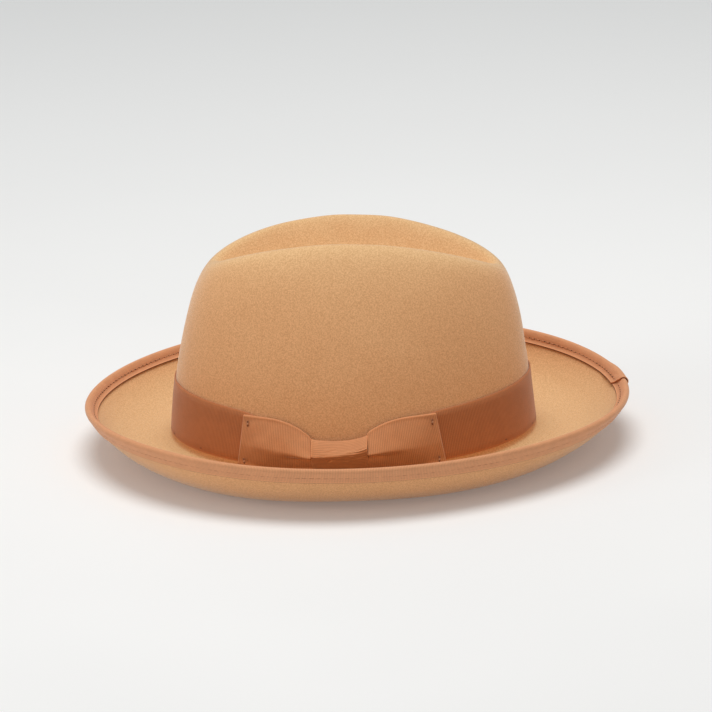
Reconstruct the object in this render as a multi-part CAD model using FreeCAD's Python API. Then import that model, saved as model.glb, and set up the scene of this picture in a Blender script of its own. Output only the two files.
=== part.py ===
import FreeCAD, Part
import math
import os

# A felt dress hat: pinched oval crown, ribbed ribbon band with a flat bow on the wearer's left, and a bound,
# rolled brim. Millimetres. -Y is the front of the hat, +Y the back, +X the wearer's left, +Z up.
# Shapes are worked out in the crown's own frame, where z = 0 is the foot of the crown, and are moved at the
# end so that the hat stands on z = 0 with its box centred on x = y = 0.

os.makedirs("parts", exist_ok=True)
Vector = FreeCAD.Vector

# ---------------------------------------------------------------- driving dimensions
FELT = 2.2                     # felt thickness
HEAD_HALF_LENGTH = 103.5       # outside of the crown's foot, front to back
HEAD_HALF_WIDTH = 88.5         # outside of the crown's foot, side to side
HEAD_POWER = 1.95              # 2 would be an ellipse

TAPER_LENGTH = 9.1             # straight taper of the wall from foot to ridge
TAPER_WIDTH = 21.9
RIDGE_HALF_LENGTH = 78.6       # the almond-shaped ridge round the pinch
RIDGE_HALF_WIDTH = 33.6
SHOULDER_LENGTH = (2.74, 1.96)  # rounding of the wall's upper end, front and back
SHOULDER_WIDTH = (2.0, 1.6)    # the same at the sides
LEAN = (-0.7, 4.9)             # shift of the crown towards the back: linear and squared part

RIDGE_END_HEIGHT = 95.0        # ridge above the crown's foot at the front and back ends
RIDGE_DOME = 18.3              # how much higher the ridge is at its middle
RIDGE_DOME_POWER = 1.7
RIDGE_TILT = -3.1              # the back end is lower than the front end by twice this
DENT_DEPTH = 24.0
DENT_POWER = 1.7

# The brim, as values that change round the hat: see around().
BRIM_WIDTH = dict(mean=59.2, back=0.7, sides=4.6, left=2.9, skew=-1.2, third=-1.7, fourth=-1.1)
BRIM_START_SLOPE = dict(mean=-21.6, back=-1.0, sides=1.6, left=-6.3, fourth=3.2)
BRIM_END_SLOPE = dict(mean=65.9, back=1.3, sides=5.7, left=2.1, skew=-3.1, third=2.3, fourth=-3.6)
BRIM_SLOPE_POWER = dict(mean=0.93, sides=0.17)
BREAK_OUT = 2.5                # where the brim starts, out from the crown's foot and below it
BREAK_DOWN = 4.0

BAND_HEIGHT = dict(mean=27.9, sides=-2.5)
BAND_FOOT = 0.3
BAND_GATHER = 13.5             # how far the band's top is gathered down behind the bow's middle
BAND_TUCK = 1.5                # how far it stays below the bow's top edge all along the bow
GATHER_FLAT = 12.0             # the gather's full depth reaches this far from the bow's middle
GATHER_FADE = 36.0             # and is gone this much further out
RIBBON = 0.6                   # thickness of the band, bow and binding ribbons
LAYER_GAP = 0.12               # clearance between layers that lie on each other

BOW_CENTRE_Y = -7.5            # the bow sits slightly towards the front
BOW_HALF_LENGTH = 55.0
KNOT_HALF_LENGTH = 15.5

BINDING_LEG = 6.0              # each leg of the folded binding, from the felt's edge
BINDING_LAP_ANGLE = 94.0       # the upper end at the joint, just past the middle of the back
BINDING_LAP = 9.0              # degrees of overlap
STITCH_PITCH = 3.9
STITCH_INSET = 3.2             # stitch line from the binding's inner lip
THREAD = 0.3

SWEATBAND_HEIGHT = 32.0
LEATHER = 1.0
SWEATBAND_FACES = (-3.6, -3.6 - LEATHER)  # its outer and inner face, in from the felt's outside
REED_RADIUS = 1.0
LINING = 0.25
LINING_HEM = 7.0               # height of the lining's lower edge
LINING_TOP = 74.0              # height of the lining's seam with its tip

AROUND = 120                   # control points round the hat


# ---------------------------------------------------------------- the hat's shape as formulas
def around(angle, mean=0.0, sides=0.0, back=0.0, left=0.0, skew=0.0, third=0.0, fourth=0.0):
    """A value that changes smoothly round the hat, as a few harmonics of the angle from +X."""
    return (mean + sides * math.cos(2 * angle) + back * math.sin(angle) + left * math.cos(angle)
            + skew * math.sin(2 * angle) + third * math.sin(3 * angle) + fourth * math.cos(4 * angle))


def smooth_step(share):
    """Eases from 0 to 1, and holds those values outside that range."""
    share = min(1.0, max(0.0, share))
    return share * share * (3 - 2 * share)


def oval(angle, half_length, half_width, power):
    """A point of a superellipse, by its polar angle from +X."""
    c = math.cos(angle)
    s = math.sin(angle)
    r = ((abs(c) / half_width) ** power + (abs(s) / half_length) ** power) ** (-1 / power)
    return r * c, r * s


def ridge_height(y_share):
    """Height of the ridge where y is this share of the ridge's half length."""
    q = math.sqrt(max(0.0, 1 - y_share * y_share))
    return RIDGE_END_HEIGHT + RIDGE_DOME * q ** RIDGE_DOME_POWER + RIDGE_TILT * y_share


def wall_half_size(share, half_foot, taper, half_ridge, shoulder):
    """Half length or half width of the crown at a share of its height: 0 at the foot, 1 at the ridge."""
    power, root = shoulder
    rounding = 1 - (1 - min(max(share, 0.0), 1.0) ** power) ** (1 / root)
    return half_foot - taper * share - (half_foot - taper - half_ridge) * rounding


def wall_size(share):
    """Half length and half width of the crown at a share of its height."""
    half_length = wall_half_size(share, HEAD_HALF_LENGTH, TAPER_LENGTH, RIDGE_HALF_LENGTH, SHOULDER_LENGTH)
    half_width = wall_half_size(share, HEAD_HALF_WIDTH, TAPER_WIDTH, RIDGE_HALF_WIDTH, SHOULDER_WIDTH)
    return half_length, half_width


def lean(share):
    return LEAN[0] * share + LEAN[1] * share * share


def wall_point(angle, share):
    """A point on the outside of the crown's wall."""
    half_length, half_width = wall_size(share)
    power = HEAD_POWER + (2 - HEAD_POWER) * max(share, 0.0) ** 3
    x, y = oval(angle, half_length, half_width, power)
    ridge_y = oval(angle, RIDGE_HALF_LENGTH, RIDGE_HALF_WIDTH, 2)[1]
    return Vector(x, y + lean(share), share * ridge_height(ridge_y / RIDGE_HALF_LENGTH))


def dent_point(angle, rho):
    """A point inside the ridge: rho is 1 on the ridge and 0 in the middle of the pinch."""
    x, y = oval(angle, RIDGE_HALF_LENGTH * rho, RIDGE_HALF_WIDTH * rho, 2) if rho > 0 else (0.0, 0.0)
    y_share = y / RIDGE_HALF_LENGTH
    q = math.sqrt(max(1e-9, 1 - y_share * y_share))
    across = min(1.0, abs(x) / (RIDGE_HALF_WIDTH * q))
    depth = DENT_DEPTH * q * (1 - across * across) ** DENT_POWER
    return Vector(x, y + lean(1.0), ridge_height(y_share) - depth)


def foot_normal(angle):
    """Unit vector out of the crown's foot, in plan."""
    step = 0.01
    before = oval(angle - step, HEAD_HALF_LENGTH, HEAD_HALF_WIDTH, HEAD_POWER)
    after = oval(angle + step, HEAD_HALF_LENGTH, HEAD_HALF_WIDTH, HEAD_POWER)
    return Vector(after[1] - before[1], before[0] - after[0], 0).normalize()


def brim_section(angle, distances, offset=0.0, past_end=0.0):
    """Points of the brim's upper surface at distances in from its edge, moved out by offset along its normal.
    past_end carries the section straight on beyond the edge."""
    width = around(angle, **BRIM_WIDTH)
    start = math.radians(around(angle, **BRIM_START_SLOPE))
    end = math.radians(around(angle, **BRIM_END_SLOPE))
    power = around(angle, **BRIM_SLOPE_POWER)
    steps = 120
    out = [BREAK_OUT]
    up = [-BREAK_DOWN]
    for i in range(steps):
        slope = start + (end - start) * ((i + 0.5) / steps) ** power
        out.append(out[-1] + math.cos(slope) * width / steps)
        up.append(up[-1] + math.sin(slope) * width / steps)
    foot = Vector(*oval(angle, HEAD_HALF_LENGTH, HEAD_HALF_WIDTH, HEAD_POWER), 0)
    normal = foot_normal(angle)
    points = []
    for distance in distances:
        share = (width - distance) / width
        place = min(max(share, 0.0), 1.0) * steps
        i = min(int(place), steps - 1)
        part = place - i
        slope = start + (end - start) * max(share, 0.0) ** power if share < 1 else end
        r = out[i] + (out[i + 1] - out[i]) * part - math.sin(slope) * offset + math.cos(slope) * past_end
        z = up[i] + (up[i + 1] - up[i]) * part + math.cos(slope) * offset + math.sin(slope) * past_end
        points.append(foot + normal * r + Vector(0, 0, z))
    return points


# ---------------------------------------------------------------- control nets
def angles(count=AROUND):
    return [2 * math.pi * i / count for i in range(count)]


def felt_meridian(angle):
    """The felt's outside from the brim's edge, up the wall, over the ridge and into the pinch."""
    width = around(angle, **BRIM_WIDTH)
    brim_rows = 15
    points = brim_section(angle, [width * i / brim_rows for i in range(brim_rows + 1)])
    foot = Vector(*oval(angle, HEAD_HALF_LENGTH, HEAD_HALF_WIDTH, HEAD_POWER), 0)
    normal = foot_normal(angle)
    for share_out, share_down in ((0.3, 0.83), (0.03, 0.46)):
        points.append(foot + normal * (BREAK_OUT * share_out) - Vector(0, 0, BREAK_DOWN * share_down))
    wall_shares = (0, 0.05, 0.12, 0.2, 0.29, 0.38, 0.47, 0.56, 0.64, 0.72, 0.79, 0.85, 0.9, 0.94, 0.975, 1)
    points += [wall_point(angle, share) for share in wall_shares]
    points += [dent_point(angle, rho) for rho in (0.94, 0.87, 0.78, 0.68, 0.57, 0.45, 0.32, 0.18, 0.07, 0)]
    return points


def rows_from(section, count=AROUND):
    """Net rows from a function that gives a list of points for an angle."""
    sections = [section(angle) for angle in angles(count)]
    return [list(row) for row in zip(*sections)]


def net_normals(rows):
    """Unit normals of a net that is closed round the hat, from its neighbours. They point out of the felt."""
    count = len(rows[0])
    normals = []
    for j, row in enumerate(rows):
        lower = rows[max(j - 1, 0)]
        upper = rows[min(j + 1, len(rows) - 1)]
        line = []
        for i in range(count):
            along = row[(i + 1) % count] - row[i - 1]
            if along.Length < 1e-6:
                line.append(Vector(0, 0, 1))
            else:
                line.append(along.cross(upper[i] - lower[i]).normalize())
        normals.append(line)
    return normals


def moved_net(rows, distances):
    """The net moved along its normals, by one distance for each row."""
    normals = net_normals(rows)
    moved = []
    for row, line, distance in zip(rows, normals, distances):
        moved.append([point + normal * distance for point, normal in zip(row, line)])
    return moved


def wall_net(heights, offsets):
    """Rows on the crown's wall at heights that are numbers or functions of the angle, moved by offsets."""
    def height_at(height, angle):
        return height(angle) if callable(height) else height

    def section(angle):
        ridge_z = wall_point(angle, 1).z
        return [wall_point(angle, height_at(height, angle) / ridge_z) for height in heights]
    return moved_net(rows_from(section), offsets)


# ---------------------------------------------------------------- surfaces and solids
def knots(count, closed, degree):
    if closed:
        return [1] * (count + 1), list(range(count + 1))
    inner = count - degree
    return [degree + 1] + [1] * (inner - 1) + [degree + 1], list(range(inner + 1))


def spline_face(rows, row_closed=True, column_closed=False):
    """A spline face over a net of rows. A row runs round the hat when it is closed."""
    poles = [list(column) for column in zip(*rows)]
    u_degree = 3 if row_closed else min(3, len(poles) - 1)
    v_degree = 3 if column_closed else min(3, len(rows) - 1)
    u_mults, u_knots = knots(len(poles), row_closed, u_degree)
    v_mults, v_knots = knots(len(rows), column_closed, v_degree)
    surface = Part.BSplineSurface()
    surface.buildFromPolesMultsKnots(poles, u_mults, v_mults, u_knots, v_knots,
                                     row_closed, column_closed, u_degree, v_degree)
    return surface.toShape().Faces[0]


def solid_from(faces):
    shell = Part.makeShell(faces)
    shell.sewShape()
    solid = Part.Solid(Part.Shell(shell.Faces))
    if solid.Volume < 0:
        solid.reverse()
    return solid


def ring_solid(inner_rows, outer_rows):
    """A solid strip that closes on itself round the hat."""
    ends = [spline_face([inner_rows[j], outer_rows[j]]) for j in (0, -1)]
    return solid_from([spline_face(inner_rows), spline_face(outer_rows)] + ends)


def cap_solid(inner_rows, outer_rows):
    """A solid sheet that is closed at its middle and has a rim at its first rows."""
    rim = spline_face([inner_rows[0], outer_rows[0]])
    return solid_from([spline_face(inner_rows), spline_face(outer_rows), rim])


def strip_solid(first_rows, second_rows):
    """A solid strip with four edges, between two open nets."""
    faces = [spline_face(first_rows, row_closed=False), spline_face(second_rows, row_closed=False)]
    for j in (0, -1):
        faces.append(spline_face([first_rows[j], second_rows[j]], row_closed=False))
        first_side = [row[j] for row in first_rows]
        second_side = [row[j] for row in second_rows]
        faces.append(spline_face([first_side, second_side], row_closed=False))
    return solid_from(faces)


def loop_solid(sections):
    """A closed section carried round the hat until it meets itself."""
    return solid_from([spline_face(sections, row_closed=True, column_closed=True)])


def swept_solid(sections):
    """A closed flat section carried along an open path, with its two ends capped."""
    side = spline_face(sections)
    caps = []
    for section in (sections[0], sections[-1]):
        curve = Part.BSplineCurve()
        curve.buildFromPolesMultsKnots(section, *knots(len(section), True, 3), True, 3)
        caps.append(Part.Face(Part.Wire([curve.toShape()])))
    return solid_from([side] + caps)


def stitch(point, along, normal, length, width=THREAD, height=THREAD):
    """One visible length of thread, lying on a surface."""
    box = Part.makeBox(length, width, height, Vector(-length / 2, -width / 2, 0))
    side = normal.cross(along).normalize()
    turn = FreeCAD.Rotation(along.normalize(), side, normal, "XZY")
    box.Placement = FreeCAD.Placement(point, turn)
    return box


def spaced_along(place, start, end, pitch, closed=True):
    """Angles from start to end at which points of place(angle) are evenly spaced by about pitch."""
    steps = 720
    samples = [start + (end - start) * i / steps for i in range(steps + 1)]
    points = [place(angle) for angle in samples]
    lengths = [0.0]
    for i in range(steps):
        lengths.append(lengths[-1] + (points[i + 1] - points[i]).Length)
    count = round(lengths[-1] / pitch)
    found = []
    i = 0
    for k in range(count if closed else count + 1):
        wanted = lengths[-1] * k / count
        while i < steps - 1 and lengths[i + 1] < wanted:
            i += 1
        part = (wanted - lengths[i]) / (lengths[i + 1] - lengths[i])
        found.append(samples[i] + (samples[i + 1] - samples[i]) * part)
    return found


def stitch_row(place, start, end, pitch, length, normal_at, closed=True):
    """Separate stitches along place(angle)."""
    step = 0.002
    stitches = []
    for angle in spaced_along(place, start, end, pitch, closed):
        along = place(angle + step) - place(angle - step)
        stitches.append(stitch(place(angle), along, normal_at(angle), length))
    return Part.makeCompound(stitches)


# ---------------------------------------------------------------- felt
def felt_rows():
    return rows_from(felt_meridian)


def felt_body():
    outer = felt_rows()
    inner = moved_net(outer, [-FELT] * len(outer))
    return cap_solid(inner, outer)


# ---------------------------------------------------------------- band and bow
def band_top(angle):
    """The band's upper edge, which is gathered down behind the bow."""
    x, y = oval(angle, HEAD_HALF_LENGTH, HEAD_HALF_WIDTH, HEAD_POWER)
    top = around(angle, **BAND_HEIGHT)
    if x < 0:
        return top
    distance = abs(y - BOW_CENTRE_Y)
    gather = 1 - smooth_step((distance - GATHER_FLAT) / GATHER_FADE)
    past_end = 1.0
    fade = 7.0
    behind = smooth_step((BOW_HALF_LENGTH + past_end - distance) / fade)
    return top - BAND_GATHER * gather - BAND_TUCK * behind


def hat_band():
    shares = (0, 0.2, 0.4, 0.6, 0.8, 1)

    def height(share):
        return lambda angle: BAND_FOOT + (band_top(angle) - BAND_FOOT) * share
    heights = [height(share) for share in shares]
    inner = wall_net(heights, [LAYER_GAP] * len(shares))
    outer = wall_net(heights, [LAYER_GAP + RIBBON] * len(shares))
    return ring_solid(inner, outer)


def band_side_point(y, height, out):
    """A point by the bow: y along the hat, height above the crown's foot, out from the felt."""
    ridge_z = RIDGE_END_HEIGHT + RIDGE_DOME
    share = height / ridge_z
    half_length, half_width = wall_size(share)
    half_length += out
    half_width += out
    y_share = min(1.0, abs(y - lean(share)) / half_length)
    return Vector(half_width * (1 - y_share ** HEAD_POWER) ** (1 / HEAD_POWER), y, height)


def loop_edges(distance):
    """Lower and upper edge of a bow loop at a distance from the bow's centre."""
    spread_from = 14.5
    spread_over = 23.0
    share = min(1.0, max(0.0, (distance - spread_from) / spread_over))
    rise = 1 - (1 - share) ** 2.6
    return 2.5 - 3.3 * rise, 15.0 + 10.8 * rise


def bow_loop(direction):
    """One loop: a ribbon that leaves the knot along the band, folds back at the end and returns on top."""
    path = ((9, 1.9), (16, 1.35), (26, 1.25), (38, 1.2), (48, 1.2), (53.6, 1.25), (54.7, 1.5), (54.7, 2.3),
            (53.6, 2.7), (47, 2.9), (38, 3.6), (30, 4.6), (23, 5.4), (16, 5.2), (11, 4.2), (9, 3.4))
    half = RIBBON / 2
    first = []
    second = []
    for i, (distance, out) in enumerate(path):
        before = path[max(i - 1, 0)]
        after = path[min(i + 1, len(path) - 1)]
        dx = after[0] - before[0]
        dy = after[1] - before[1]
        length = math.hypot(dx, dy)
        lower, upper = loop_edges(distance)
        for side, net in ((-half, first), (half, second)):
            d = distance - side * dy / length
            o = out + side * dx / length
            y = BOW_CENTRE_Y + direction * d
            net.append([band_side_point(y, lower + (upper - lower) * k / 5, o) for k in range(6)])
    return strip_solid(first, second)


def bow_knot():
    """The ribbon wrapped round the bow's middle, from behind the top edge to behind the lower edge."""
    path = ((13.0, 1.15), (14.6, 1.2), (16.4, 2.6), (16.6, 5.2), (14.8, 7.2), (10.0, 8.3), (5.0, 7.4),
            (1.2, 5.4), (0.6, 3.2), (1.6, 1.6), (3.4, 1.15))
    half = RIBBON / 2
    first = []
    second = []
    for i, (height, out) in enumerate(path):
        before = path[max(i - 1, 0)]
        after = path[min(i + 1, len(path) - 1)]
        dh = after[0] - before[0]
        do = after[1] - before[1]
        length = math.hypot(dh, do)
        for side, net in ((-half, first), (half, second)):
            h = height + side * do / length
            o = out - side * dh / length
            ys = [BOW_CENTRE_Y + KNOT_HALF_LENGTH * k / 3 for k in range(-3, 4)]
            net.append([band_side_point(y, h, o) for y in ys])
    return strip_solid(first, second)


def bow_tacks():
    """Two short crossing threads at each outer corner of the bow."""
    threads = []
    for direction in (-1, 1):
        for height in (1.6, 22.6):
            for side in (-0.45, 0.45):
                y = BOW_CENTRE_Y + direction * (BOW_HALF_LENGTH - 2.6) + side
                point = band_side_point(y, height, 3.35)
                outward = Vector(point.x / HEAD_HALF_WIDTH ** 2, point.y / HEAD_HALF_LENGTH ** 2, 0)
                outward.normalize()
                along = Vector(-outward.y * side * direction, outward.x * side * direction, 1).normalize()
                threads.append(stitch(point, along, outward, 2.2))
    return Part.makeCompound(threads)


def band_stitches():
    """A few small stitches through the band's lower edge into the felt."""
    height = 2.2
    clear = 0.08

    def place(angle):
        point = wall_point(angle, height / wall_point(angle, 1).z)
        return point + foot_normal(angle) * (LAYER_GAP + RIBBON + clear)
    start = math.radians(60)
    return stitch_row(place, start, start + math.radians(240), 34.0, 1.6, foot_normal, closed=False)


# ---------------------------------------------------------------- binding
def binding_section(angle, lift):
    """Closed section of the folded ribbon round the brim's edge. lift raises the upper end at the lap."""
    past_edge = 0.3

    def arc(radius, sweep):
        points = []
        for turn in sweep:
            offset = -FELT / 2 + radius * math.cos(math.radians(turn))
            points += brim_section(angle, [0], offset, past_edge + radius * math.sin(math.radians(turn)))
        return points
    leg = [BINDING_LEG * share for share in (1, 0.66, 0.33, 0)]
    inside = LAYER_GAP + lift
    outside = inside + RIBBON
    spline_pull = 1.1            # a spline lies inside the corners of its net
    turns = (30, 65, 90, 115, 150)
    inner = brim_section(angle, leg, inside)
    inner += arc((FELT / 2 + inside) * spline_pull, turns)
    inner += brim_section(angle, leg[::-1], -FELT - inside)
    outer = brim_section(angle, leg, -FELT - outside)
    outer += arc((FELT / 2 + outside) * spline_pull, turns[::-1])
    outer += brim_section(angle, leg[::-1], outside)
    return inner + outer


def lap_lift(angle):
    """How far the binding's upper end stands off the felt, for its lower end to pass under it."""
    past = math.degrees(angle) - BINDING_LAP_ANGLE
    settle = BINDING_LAP * 0.6
    share = min(1.0, max(0.0, (past - BINDING_LAP) / settle))
    return (RIBBON + LAYER_GAP) * (1 - share)


def brim_binding():
    """The ribbon once round the brim. It starts with its upper end and finishes underneath it."""
    start = math.radians(BINDING_LAP_ANGLE)
    turn = 2 * math.pi + math.radians(BINDING_LAP)
    count = 150
    sections = []
    for i in range(count + 1):
        angle = start + turn * i / count
        sections.append(binding_section(angle, lap_lift(angle)))
    return swept_solid(sections)


def binding_stitches(upper):
    """The row of stitches along the binding, on its upper or under leg."""
    clear = 0.15
    reach = LAYER_GAP + RIBBON + clear

    def surface(angle, height):
        out = reach + lap_lift(angle) + height
        return brim_section(angle, [BINDING_LEG - STITCH_INSET], out if upper else -FELT - out)[0]

    def place(angle):
        return surface(angle, 0.0)

    def normal_at(angle):
        return (surface(angle, 1.0) - place(angle)).normalize()
    ends = 1.2                   # degrees from the row's first and last stitch to the binding's upper end
    start = math.radians(BINDING_LAP_ANGLE + ends)
    return stitch_row(place, start, start + math.radians(360 - 2 * ends), STITCH_PITCH,
                      STITCH_PITCH * 0.72, normal_at, closed=False)


# ---------------------------------------------------------------- sweatband and its trim
def inside_point(angle, height, offset):
    """A point inside the crown: height above its foot, offset in from the felt's outside (negative)."""
    ridge_z = wall_point(angle, 1).z
    point = wall_point(angle, height / ridge_z)
    lower = wall_point(angle, height / ridge_z - 0.01)
    step = 0.01
    along = wall_point(angle + step, height / ridge_z) - wall_point(angle - step, height / ridge_z)
    return point + along.cross(point - lower).normalize() * offset


def sweatband():
    """The leather strip, with its two ends meeting at the back."""
    start = math.radians(90.3)
    turn = 2 * math.pi - math.radians(0.6)
    heights = [0.5 + (SWEATBAND_HEIGHT - 0.5) * k / 5 for k in range(6)]
    nets = []
    for offset in SWEATBAND_FACES:
        nets.append([[inside_point(start + turn * i / AROUND, height, offset) for i in range(AROUND + 1)]
                     for height in heights])
    return strip_solid(*nets)


def ring_of(profile):
    """A closed profile of (offset, height) pairs carried round the inside of the crown."""
    sections = []
    for angle in angles():
        sections.append([inside_point(angle, height, offset) for offset, height in profile])
    return loop_solid(sections)


def circle(radius, count=8):
    """Points round a circle about the origin, as a control polygon."""
    turns = [2 * math.pi * k / count for k in range(count)]
    return [(radius * math.cos(turn), radius * math.sin(turn)) for turn in turns]


def sweatband_reed():
    """The plastic reed under the sweatband's lower edge."""
    centre_offset = -4.1
    centre_height = -1.0
    return ring_of([(centre_offset + x, centre_height + z) for x, z in circle(REED_RADIUS)])


def reed_tape():
    """The folded tape: up behind the leather, under the reed, and up the leather's face."""
    outside = ((-2.75, 5.0), (-2.75, 2.5), (-2.75, 0.0), (-2.8, -1.6), (-3.4, -2.6), (-4.3, -2.7),
               (-5.1, -2.0), (-5.3, -0.6), (-5.15, 1.0), (-5.1, 2.6))
    inside = ((-4.8, 2.6), (-4.8, 1.0), (-4.95, -0.6), (-4.75, -1.7), (-4.2, -2.3), (-3.6, -2.2),
              (-3.15, -1.4), (-3.1, 0.0), (-3.1, 2.5), (-3.1, 5.0))
    return ring_of(outside + inside)


def sweatband_stitches():
    height = 1.8
    on_tape = -5.4

    def place(angle):
        return inside_point(angle, height, on_tape)

    def normal_at(angle):
        return foot_normal(angle) * -1
    start = math.radians(97)
    return stitch_row(place, start, start + math.radians(346), 3.6, 2.5, normal_at, closed=False)


def crown_seam_stitches():
    """The long stitches between felt and tape."""
    height = 3.6
    on_tape = -2.74

    def place(angle):
        return inside_point(angle, height, on_tape)
    return stitch_row(place, 0, 2 * math.pi, 9.0, 6.0, foot_normal)


def inner_strip(angle, half_length, half_height, height, offset):
    """A small flat ribbon piece on the sweatband's face, centred on an angle."""
    nets = []
    radius = HEAD_HALF_LENGTH
    for face in (offset, offset - RIBBON):
        net = []
        for k in range(-2, 3):
            pinch = half_height * (0.55 + 0.45 * abs(k) / 2)
            turned = angle + half_length * k / 2 / radius
            net.append([inside_point(turned, height + pinch * m, face) for m in (-1, -0.33, 0.33, 1)])
        nets.append(net)
    return strip_solid(*nets)


def sweatband_bow():
    return inner_strip(math.pi / 2, 19.0, 4.0, 10.0, SWEATBAND_FACES[1] - 0.3)


def sweatband_bow_knot():
    return inner_strip(math.pi / 2, 3.0, 4.2, 10.0, SWEATBAND_FACES[1] - 0.7 - RIBBON)


def size_tab():
    """A small cloth tab that stands up behind the sweatband beside its joint."""
    nets = []
    for face in (-3.12, -3.42):
        net = []
        for height in (24.0, 30.0, 36.0, 41.0):
            net.append([inside_point(math.radians(100 + 2.5 * k), height, face) for k in range(-2, 3)])
        nets.append(net)
    return strip_solid(*nets)


# ---------------------------------------------------------------- lining
def lining_offset(height):
    """The lining lies on the felt behind the sweatband and leaves it higher up, where it hangs straighter."""
    free = SWEATBAND_HEIGHT + 2
    share = max(0.0, (height - free) / (LINING_TOP - free))
    return -2.6 - 3.6 * share ** 1.5


def lining_side():
    heights = [LINING_HEM + (LINING_TOP - LINING_HEM) * k / 9 for k in range(10)]
    outer = wall_net(heights, [lining_offset(height) for height in heights])
    inner = wall_net(heights, [lining_offset(height) - LINING for height in heights])
    return ring_solid(inner, outer)


def lining_tip():
    """The oval top panel, slightly domed under the pinch."""
    rim = [wall_point(angle, LINING_TOP / wall_point(angle, 1).z) for angle in angles()]
    inset = 5.2
    dome = 4.5
    nets = []
    for drop in (LINING, 0.0):
        rows = []
        for rho in (1, 0.9, 0.75, 0.58, 0.4, 0.2, 0.08, 0):
            row = []
            for point in rim:
                flat = Vector(point.x, point.y, 0)
                flat = flat * ((flat.Length - inset) / flat.Length)
                height = LINING_TOP + 0.9 + dome * (1 - rho * rho) - drop
                row.append(Vector(flat.x * rho, flat.y * rho, height))
            rows.append(row)
        nets.append(rows)
    return cap_solid(*nets)


def lining_piping():
    """The covered cord in the seam between side and tip."""
    sections = []
    radius = 0.8
    for angle in angles():
        centre = inside_point(angle, LINING_TOP - 0.7, lining_offset(LINING_TOP) - LINING - radius - 0.25)
        outward = foot_normal(angle)
        sections.append([centre + outward * out + Vector(0, 0, up) for out, up in circle(radius)])
    return loop_solid(sections)


def lining_hem_stitches():
    """Running stitches that hold the lining's hem, hidden behind the sweatband."""
    height = LINING_HEM + 2
    clear = 0.2

    def place(angle):
        return inside_point(angle, height, lining_offset(height) - LINING - clear)

    def normal_at(angle):
        return foot_normal(angle) * -1
    return stitch_row(place, 0, 2 * math.pi, 20.0, 8.0, normal_at)


# ---------------------------------------------------------------- assembly
def build():
    return {
        "felt_body": felt_body(),
        "hat_band": hat_band(),
        "band_stitches": band_stitches(),
        "bow_loop_front": bow_loop(-1),
        "bow_loop_back": bow_loop(1),
        "bow_knot": bow_knot(),
        "bow_tacks": bow_tacks(),
        "brim_binding": brim_binding(),
        "binding_stitches_top": binding_stitches(True),
        "binding_stitches_under": binding_stitches(False),
        "sweatband": sweatband(),
        "sweatband_reed": sweatband_reed(),
        "reed_tape": reed_tape(),
        "sweatband_stitches": sweatband_stitches(),
        "crown_seam_stitches": crown_seam_stitches(),
        "sweatband_bow": sweatband_bow(),
        "sweatband_bow_knot": sweatband_bow_knot(),
        "size_tab": size_tab(),
        "lining_side": lining_side(),
        "lining_tip": lining_tip(),
        "lining_piping": lining_piping(),
        "lining_hem_stitches": lining_hem_stitches(),
    }


def main():
    shapes = build()
    whole = shapes["felt_body"].BoundBox
    for shape in shapes.values():
        whole.add(shape.BoundBox)
    settle = Vector(-whole.Center.x, -whole.Center.y, -whole.ZMin)
    for name, shape in shapes.items():
        shape.translate(settle)
        shape.exportStep("parts/" + name + ".step")
        print(name, len(shape.Solids), round(shape.Volume, 1), shape.isValid(), shape.BoundBox)
    print("moved by", settle)


main()
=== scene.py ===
import math

import bpy
import numpy as np
from mathutils import Matrix, Vector


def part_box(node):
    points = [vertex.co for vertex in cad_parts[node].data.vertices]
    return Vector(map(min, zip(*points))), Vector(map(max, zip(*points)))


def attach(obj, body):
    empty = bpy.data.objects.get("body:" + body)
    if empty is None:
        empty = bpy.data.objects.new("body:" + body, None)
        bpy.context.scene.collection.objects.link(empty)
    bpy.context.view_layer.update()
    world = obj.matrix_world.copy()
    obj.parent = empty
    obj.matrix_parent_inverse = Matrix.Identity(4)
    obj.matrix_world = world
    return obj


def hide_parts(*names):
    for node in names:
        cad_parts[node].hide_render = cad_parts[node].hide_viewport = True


# A felt dress hat with a pinched oval crown, a ribbed band with a flat bow, and a rolled, bound brim.
# Shapes are worked out in millimetres in the crown's own frame, where z = 0 is the crown's foot, -Y is the
# front of the hat, +X the wearer's left and +Z up. They are moved and scaled to the row frame at the end.

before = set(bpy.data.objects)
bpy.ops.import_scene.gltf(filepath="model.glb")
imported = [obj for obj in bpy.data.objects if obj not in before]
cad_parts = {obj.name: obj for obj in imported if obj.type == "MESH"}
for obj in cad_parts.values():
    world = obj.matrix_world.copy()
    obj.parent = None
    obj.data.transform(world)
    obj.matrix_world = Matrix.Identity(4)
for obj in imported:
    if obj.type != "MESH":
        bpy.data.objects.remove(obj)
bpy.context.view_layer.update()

MM = 0.001

# ---- driving dimensions, as in the CAD part
FELT = 2.2
HEAD_HALF_LENGTH = 103.5
HEAD_HALF_WIDTH = 88.5
HEAD_POWER = 1.95

TAPER_LENGTH = 9.1
TAPER_WIDTH = 21.9
RIDGE_HALF_LENGTH = 78.6
RIDGE_HALF_WIDTH = 33.6
SHOULDER_LENGTH = (2.74, 1.96)
SHOULDER_WIDTH = (2.0, 1.6)
LEAN = (-0.7, 4.9)

RIDGE_END_HEIGHT = 95.0
RIDGE_DOME = 18.3
RIDGE_DOME_POWER = 1.7
RIDGE_TILT = -3.1
RIDGE_TOP = RIDGE_END_HEIGHT + RIDGE_DOME
DENT_DEPTH = 24.0
DENT_POWER = 1.7

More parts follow.
